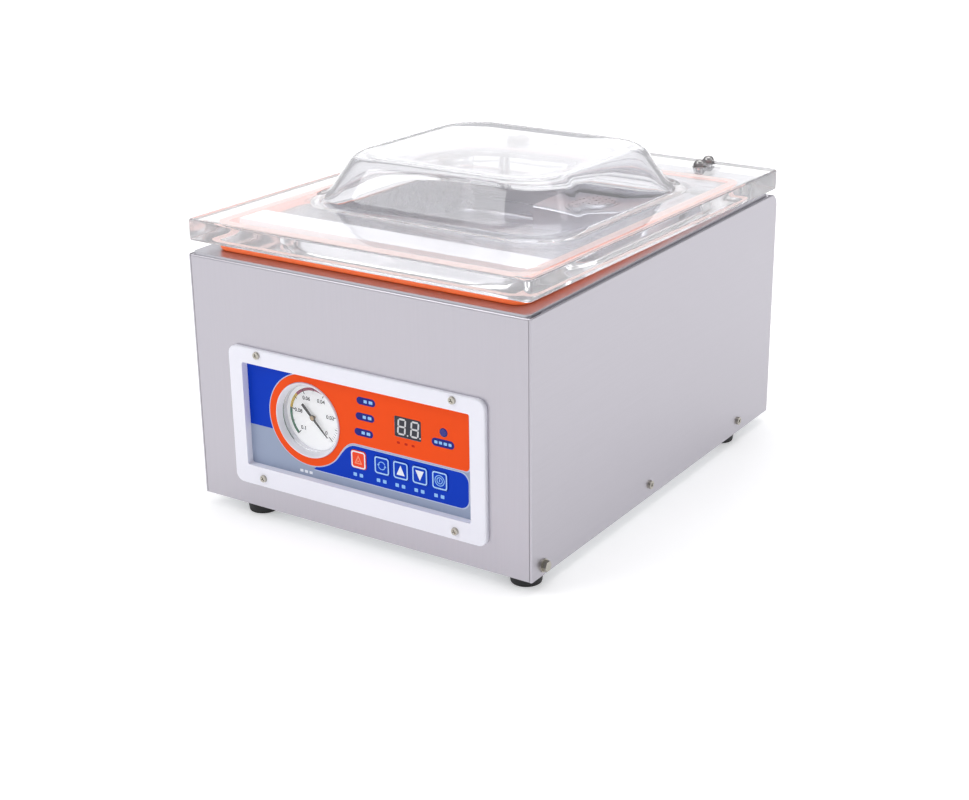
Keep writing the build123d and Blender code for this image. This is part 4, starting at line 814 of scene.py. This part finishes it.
hole = circ(GX0, GZ0, RING_IN, 96)
PB = "cabinet"
lo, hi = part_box("display_module")
DX, DZ, DY = (lo[0] + hi[0]) * 500, (lo[2] + hi[2]) * 500 - 11.0, lo[1] * 1000 + 213.0
DW, DH = (hi[0] - lo[0]) * 1000, (hi[2] - lo[2]) * 1000
lo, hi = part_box("indicator_lens")
LX0, LZ0 = (lo[0] + hi[0]) * 500, (lo[2] + hi[2]) * 500 - 11.0
key_boxes = {}
for k in ("stop", "set", "up", "down", "start"):
    lo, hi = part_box("key_" + k)
    key_boxes[k] = ((lo[0] + hi[0]) * 500, (lo[2] + hi[2]) * 500 - 11.0, (hi[0] - lo[0]) * 1000, (hi[2] - lo[2]) * 1000, lo[1] * 1000 + 213.0)
key_holes = [rr(x, z, w + 0.7, h + 0.7, 3.15) for x, z, w, h, y in key_boxes.values()]
BLK = 73.5
al = math.degrees(math.asin((GZ0 - BLK) / RING_OUT))
layer("print_blue_block", [[(-113.8, BLK), (-113.8, PT), (GX0, PT)] + circ(GX0, GZ0, RING_OUT + 0.02, 40, 90, 180 + al)], 0.05, "ink_blue")
layer("print_lower_outline", [lower_outline(0.8)] + key_holes, 0.07, "ink_pale")
WINDOWS = [rr(DX, DZ, DW + 0.5, DH + 0.5, 1.4), circ(LX0, LZ0, 3.8, 48)]
layer("print_pale_outline", [orange_outline(0.8), hole] + WINDOWS, 0.09, "ink_pale")
layer("print_lower_blue", [lower_outline(0.0)] + key_holes, 0.12, "ink_blue")
layer("print_orange_field", [orange_outline(0.0), hole] + WINDOWS, 0.15, "ink_orange")

# marker pills with plain bars, no lettering
pills = [(9.7, 116.8, 18.4, 6.4), (8.2, 103.3, 18.4, 6.4), (6.5, 89.6, 18.4, 6.4), (83.0, 97.2, 21.2, 6.8)]
layer("print_pills", [rr(x, z, w, h, h / 2 - 0.01) for x, z, w, h in pills], 0.19, "ink_navy")
bars = []
for x, z, w, h in pills[:3]:
    bars += [rr(x - 0.6, z, 3.2, 2.6, 0.5), rr(x + 4.6, z, 3.6, 2.6, 0.5)]
x, z, w, h = pills[3]
bars += [rr(x - 6.6, z, 3.0, 2.4, 0.5), rr(x - 2.3, z, 3.0, 2.4, 0.5), rr(x + 2.2, z, 3.2, 2.4, 0.5), rr(x + 6.6, z, 2.8, 2.4, 0.5)]
layer("print_pill_bars", bars, 0.23, "ink_sky")
layer("print_display_marks", [rr(x, 88.8, 2.8, 1.9, 0.4) for x in (40.3, 47.7, 54.5)], 0.19, "ink_red")
kb = []
for k, (x, z, w, h, y) in key_boxes.items():
    kb += [rr(x - 4.2, z - 13.6, 3.4, 3.0, 0.5), rr(x + 2.0, z - 13.6, 3.4, 3.0, 0.5)]
layer("print_key_bars", kb, 0.19, "ink_sky")
layer("print_gauge_bars", [rr(GX0 - 9.0 + 4.8 * i, 42.4, 3.3, 2.4, 0.4) for i in range(3)], 0.1, "ink_white")

# keys: raised outline and icon on each
for k, (x, z, w, h, y) in key_boxes.items():
    flat_shape("key_outline_" + k, [rr(x, z, w - 1.0, h - 1.0, 2.3), rr(x, z, w - 3.3, h - 3.3, 1.4)], y - 0.05, 0.09, "ink_white" if k == "stop" else "ink_key", k + "_key")
x, z, w, h, y = key_boxes["stop"]
flat_shape("key_icon_stop", [[(x - 3.9, z - 3.7), (x + 3.9, z - 3.7), (x, z + 4.2)], [(x - 2.3, z - 2.7), (x + 2.3, z - 2.7), (x, z + 2.0)]], y - 0.05, 0.09, "ink_salmon", "stop_key")
flat_shape("key_icon_stop_dot", [rr(x, z - 1.3, 1.7, 1.1, 0.2)], y - 0.05, 0.09, "ink_salmon", "stop_key")
x, z, w, h, y = key_boxes["set"]
flat_shape("key_icon_set", [sector(x, z, 2.9, 3.6, 20, 160, 20), sector(x, z, 2.9, 3.6, 200, 340, 20),
                            [(x - 4.5, z + 0.9), (x - 2.0, z + 0.9), (x - 3.3, z - 0.9)], [(x + 4.5, z - 0.9), (x + 2.0, z - 0.9), (x + 3.3, z + 0.9)]],
           y - 0.05, 0.09, "ink_sky", "set_key")
x, z, w, h, y = key_boxes["up"]
flat_shape("key_icon_up", [[(x - 4.0, z - 4.0), (x + 4.0, z - 4.0), (x, z + 4.4)]], y - 0.05, 0.09, "ink_white", "up_key")
x, z, w, h, y = key_boxes["down"]
flat_shape("key_icon_down", [[(x - 4.0, z + 4.0), (x + 4.0, z + 4.0), (x, z - 4.4)]], y - 0.05, 0.09, "ink_white", "down_key")
x, z, w, h, y = key_boxes["start"]
flat_shape("key_icon_start", [circ(x, z, 4.7, 48), circ(x, z, 4.0, 48), circ(x, z, 2.9, 40), circ(x, z, 2.2, 40), rr(x, z + 0.1, 0.9, 2.6, 0.3)], y - 0.05, 0.09, "ink_sky", "start_key")

# display: two seven-segment digits and their points
def seg_h(cx, cz, ln, t, sl):
    s_ = sl * 0
    return [(cx - ln / 2, cz), (cx - ln / 2 + t / 2, cz + t / 2), (cx + ln / 2 - t / 2, cz + t / 2), (cx + ln / 2, cz), (cx + ln / 2 - t / 2, cz - t / 2), (cx - ln / 2 + t / 2, cz - t / 2)]


def seg_v(cx, cz, ln, t):
    return [(cx, cz - ln / 2), (cx + t / 2, cz - ln / 2 + t / 2), (cx + t / 2, cz + ln / 2 - t / 2), (cx, cz + ln / 2), (cx - t / 2, cz + ln / 2 - t / 2), (cx - t / 2, cz - ln / 2 + t / 2)]


def digit(cx, cz, w=6.6, h=12.6, t=1.5):
    hw, hh = w / 2, h / 2
    out = []
    for pts in (seg_h(cx, cz + hh, w - 0.5, t, 0), seg_h(cx, cz, w - 0.5, t, 0), seg_h(cx, cz - hh, w - 0.5, t, 0),
                seg_v(cx - hw, cz + hh / 2, hh - 0.5, t), seg_v(cx + hw, cz + hh / 2, hh - 0.5, t),
                seg_v(cx - hw, cz - hh / 2, hh - 0.5, t), seg_v(cx + hw, cz - hh / 2, hh - 0.5, t)):
        out.append([(x + (z - cz) * 0.09, z) for x, z in pts])
    return out


segs = digit(DX - 6.2, DZ) + digit(DX + 6.3, DZ) + [circ(DX - 0.7, DZ - 6.4, 0.7, 20), circ(DX + 11.3, DZ - 6.4, 0.7, 20)]
flat_shape("display_digits", segs, DY - 0.05, 0.09, "digit", PB)

# gauge dial: coloured arc, marks and figures
lo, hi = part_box("gauge_dial")
YD = lo[1] * 1000 + 213.0
A0, A1 = -45.0, -315.0                         # zero mark, then counter-clockwise seen from the front
def dial_angle(v):
    """Angle in the (x, z) plane of the figure v on a 0 to 0.1 scale running counter-clockwise from the lower right."""
    return -45.0 + 270.0 * v / 0.1


flat_shape("dial_arc_green", [sector(GX0, GZ0, 22.8, 25.4, dial_angle(0.1), dial_angle(0.08), 24)], YD - 0.04, 0.06, "dial_green", PB)
flat_shape("dial_arc_yellow", [sector(GX0, GZ0, 22.8, 25.4, dial_angle(0.08), dial_angle(0.067), 16)], YD - 0.04, 0.06, "dial_yellow", PB)
flat_shape("dial_arc_red", [sector(GX0, GZ0, 22.8, 25.4, dial_angle(0.067), dial_angle(0.042), 24)], YD - 0.04, 0.06, "dial_red", PB)
ticks = []
for i in range(0, 51):
    v = 0.002 * i
    a = radians(dial_angle(v))
    major = i % 10 == 0
    mid = i % 5 == 0
    r0 = 20.6 if major else (21.6 if mid else 22.8)
    r1 = 25.2
    w = 0.42 if major else (0.28 if mid else 0.15)
    ca_, sa_ = cos(a), sin(a)
    if i % 5 and v > 0.043:
        r1 = 24.0
    ticks.append([(GX0 + r0 * ca_ - w * sa_, GZ0 + r0 * sa_ + w * ca_), (GX0 + r1 * ca_ - w * sa_, GZ0 + r1 * sa_ + w * ca_),
                  (GX0 + r1 * ca_ + w * sa_, GZ0 + r1 * sa_ - w * ca_), (GX0 + r0 * ca_ + w * sa_, GZ0 + r0 * sa_ - w * ca_)])
flat_shape("dial_ticks", ticks, YD - 0.08, 0.1, "dial_black", PB)


def figure(name, text, x, z, size, y_front, thick, mat, body, slot):
    cu = bpy.data.curves.new(name, "FONT")
    cu.body = text
    cu.size = size / 1000.0
    cu.align_x = "CENTER"
    cu.align_y = "CENTER"
    cu.extrude = thick / 2000.0
    cu.resolution_u = 4
    cu.offset = size * 0.028 / 1000.0
    tmp = bpy.data.objects.new(name + "_tmp", cu)
    col.objects.link(tmp)
    bpy.context.view_layer.update()
    me = bpy.data.meshes.new_from_object(tmp.evaluated_get(bpy.context.evaluated_depsgraph_get()))
    bpy.data.objects.remove(tmp)
    me.transform(Matrix(((1, 0, 0, x / 1000.0), (0, 0, -1, (y_front + thick / 2 - 213.0) / 1000.0), (0, 1, 0, (z + 11.0) / 1000.0), (0, 0, 0, 1))))
    return me


def join_meshes(name, meshes, mat, body):
    bm = bmesh.new()
    for me in meshes:
        bm.from_mesh(me)
        bpy.data.meshes.remove(me)
    bmesh.ops.remove_doubles(bm, verts=bm.verts, dist=1e-7)
    bmesh.ops.recalc_face_normals(bm, faces=bm.faces)
    me = bpy.data.meshes.new(name)
    bm.to_mesh(me)
    bm.free()
    me.materials.append(M[mat])
    ob = bpy.data.objects.new(name, me)
    col.objects.link(ob)
    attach(ob, body)
    return ob


figs = []
for v, tx in ((0.0, "0"), (0.02, "0.02"), (0.04, "0.04"), (0.06, "0.06"), (0.08, "0.08"), (0.1, "0.1")):
    a = radians(dial_angle(v))
    rr_ = 16.6
    figs.append(figure("f" + tx, tx, GX0 + rr_ * cos(a), GZ0 + rr_ * sin(a), 4.7, YD - 0.06, 0.08, "dial_black", PB, "dial_white"))
join_meshes("dial_figures", figs, "dial_black", PB)

# brass hub on the needle
lo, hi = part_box("gauge_needle")
YN = lo[1] * 1000 + 213.0
bm = bmesh.new()
n = 40
rows = [(2.0, YN + 0.1), (2.0, YN - 0.5), (1.8, YN - 0.75), (1.2, YN - 0.85), (1.1, YN - 0.7), (0.45, YN - 0.7), (0.3, YN - 0.8)]
rg = [[bm.verts.new(P(GX0 + r * cos(2 * pi * i / n), y, GZ0 + r * sin(2 * pi * i / n))) for i in range(n)] for r, y in rows]
for a, b in zip(rg[:-1], rg[1:]):
    for i in range(n):
        bm.faces.new((a[i], a[(i + 1) % n], b[(i + 1) % n], b[i]))
for ring in (rg[0], rg[-1]):
    bm.faces.new(ring)
finish_mesh("needle_hub", bm, "brass", "needle", 30.0)

# ------------------------------------------------------------ the studio ----
fm = Mat("studio_floor").put(Emission_Color=(1.0, 1.0, 1.0))
far = fm.t.nodes.new("ShaderNodeVectorMath")
far.operation = "LENGTH"
fm.t.links.new(fm.co, far.inputs[0])
fm.t.links.new(fm.span(far.outputs["Value"], 0.34, 0.62, 0.5, 2.6), fm.b.inputs["Emission Strength"])
fm.tone(fm.noise(3.0, 3.0, 0.5), (0.86, 0.86, 0.87), (0.9, 0.9, 0.905))
fm.rough(fm.noise(40.0, 3.0), 0.55, 0.7)
fm.bump(fm.noise(220.0, 3.0), 2.0e-5)
M["floor"] = fm.m
bm = bmesh.new()
N = 60
rings = []
for r in (0.0, 0.5, 1.2, 3.0, 8.0, 25.0):
    if r == 0.0:
        continue
    rings.append([bm.verts.new((r * cos(2 * pi * i / N), r * sin(2 * pi * i / N), 0.0)) for i in range(N)])
c0 = bm.verts.new((0, 0, 0))
for i in range(N):
    bm.faces.new((c0, rings[0][i], rings[0][(i + 1) % N]))
for a, b in zip(rings[:-1], rings[1:]):
    for i in range(N):
        bm.faces.new((a[i], b[i], b[(i + 1) % N], a[(i + 1) % N]))
fme = bpy.data.meshes.new("studio_floor")
bm.to_mesh(fme)
bm.free()
floor = bpy.data.objects.new("studio_floor", fme)
floor.data.materials.append(M["floor"])
col.objects.link(floor)


def area(name, loc, target, size, power, color=(1, 1, 1), spread=pi):
    ld = bpy.data.lights.new(name, "AREA")
    ld.shape = "RECTANGLE"
    ld.size, ld.size_y = size
    ld.energy = power
    ld.color = color
    ob = bpy.data.objects.new(name, ld)
    col.objects.link(ob)
    ob.location = loc
    d = Vector(target) - Vector(loc)
    ob.rotation_euler = d.to_track_quat("-Z", "Y").to_euler()
    return ob


area("key_softbox", (-1.6, -1.9, 2.3), (0, 0, 0.12), (1.6, 1.6), 27.0)
area("top_softbox", (0.1, 0.3, 2.6), (0, 0.1, 0.1), (2.4, 2.0), 28.0)
area("side_softbox", (2.6, 0.6, 1.5), (0, 0, 0.15), (1.4, 1.8), 12.0)
area("back_softbox", (-2.2, 3.3, 1.75), (0, 0, 0.2), (3.4, 2.2), 22.0)

w = bpy.data.worlds.new("studio_world")
scn.world = w
w.use_nodes = True
wt = w.node_tree
wt.nodes.clear()
wo = wt.nodes.new("ShaderNodeOutputWorld")
bg = wt.nodes.new("ShaderNodeBackground")
bg.inputs["Strength"].default_value = 0.52
tc = wt.nodes.new("ShaderNodeTexCoord")
sep = wt.nodes.new("ShaderNodeSeparateXYZ")
ramp = wt.nodes.new("ShaderNodeValToRGB")
ramp.color_ramp.elements[0].position = 0.0
ramp.color_ramp.elements[0].color = (0.86, 0.86, 0.88, 1)
ramp.color_ramp.elements[1].position = 0.9
ramp.color_ramp.elements[1].color = (1.0, 1.0, 1.0, 1)
e2 = ramp.color_ramp.elements.new(0.35)
e2.color = (0.72, 0.72, 0.76, 1)
wt.links.new(tc.outputs["Generated"], sep.inputs[0])
wt.links.new(sep.outputs["Z"], ramp.inputs[0])
wt.links.new(ramp.outputs[0], bg.inputs["Color"])
backdrop = wt.nodes.new("ShaderNodeBackground")
backdrop.inputs["Color"].default_value = (1.0, 1.0, 1.0, 1.0)
backdrop.inputs["Strength"].default_value = 1.0
seen = wt.nodes.new("ShaderNodeLightPath")
both = wt.nodes.new("ShaderNodeMixShader")
wt.links.new(seen.outputs["Is Camera Ray"], both.inputs[0])
wt.links.new(bg.outputs[0], both.inputs[1])
wt.links.new(backdrop.outputs[0], both.inputs[2])
wt.links.new(both.outputs[0], wo.inputs[0])
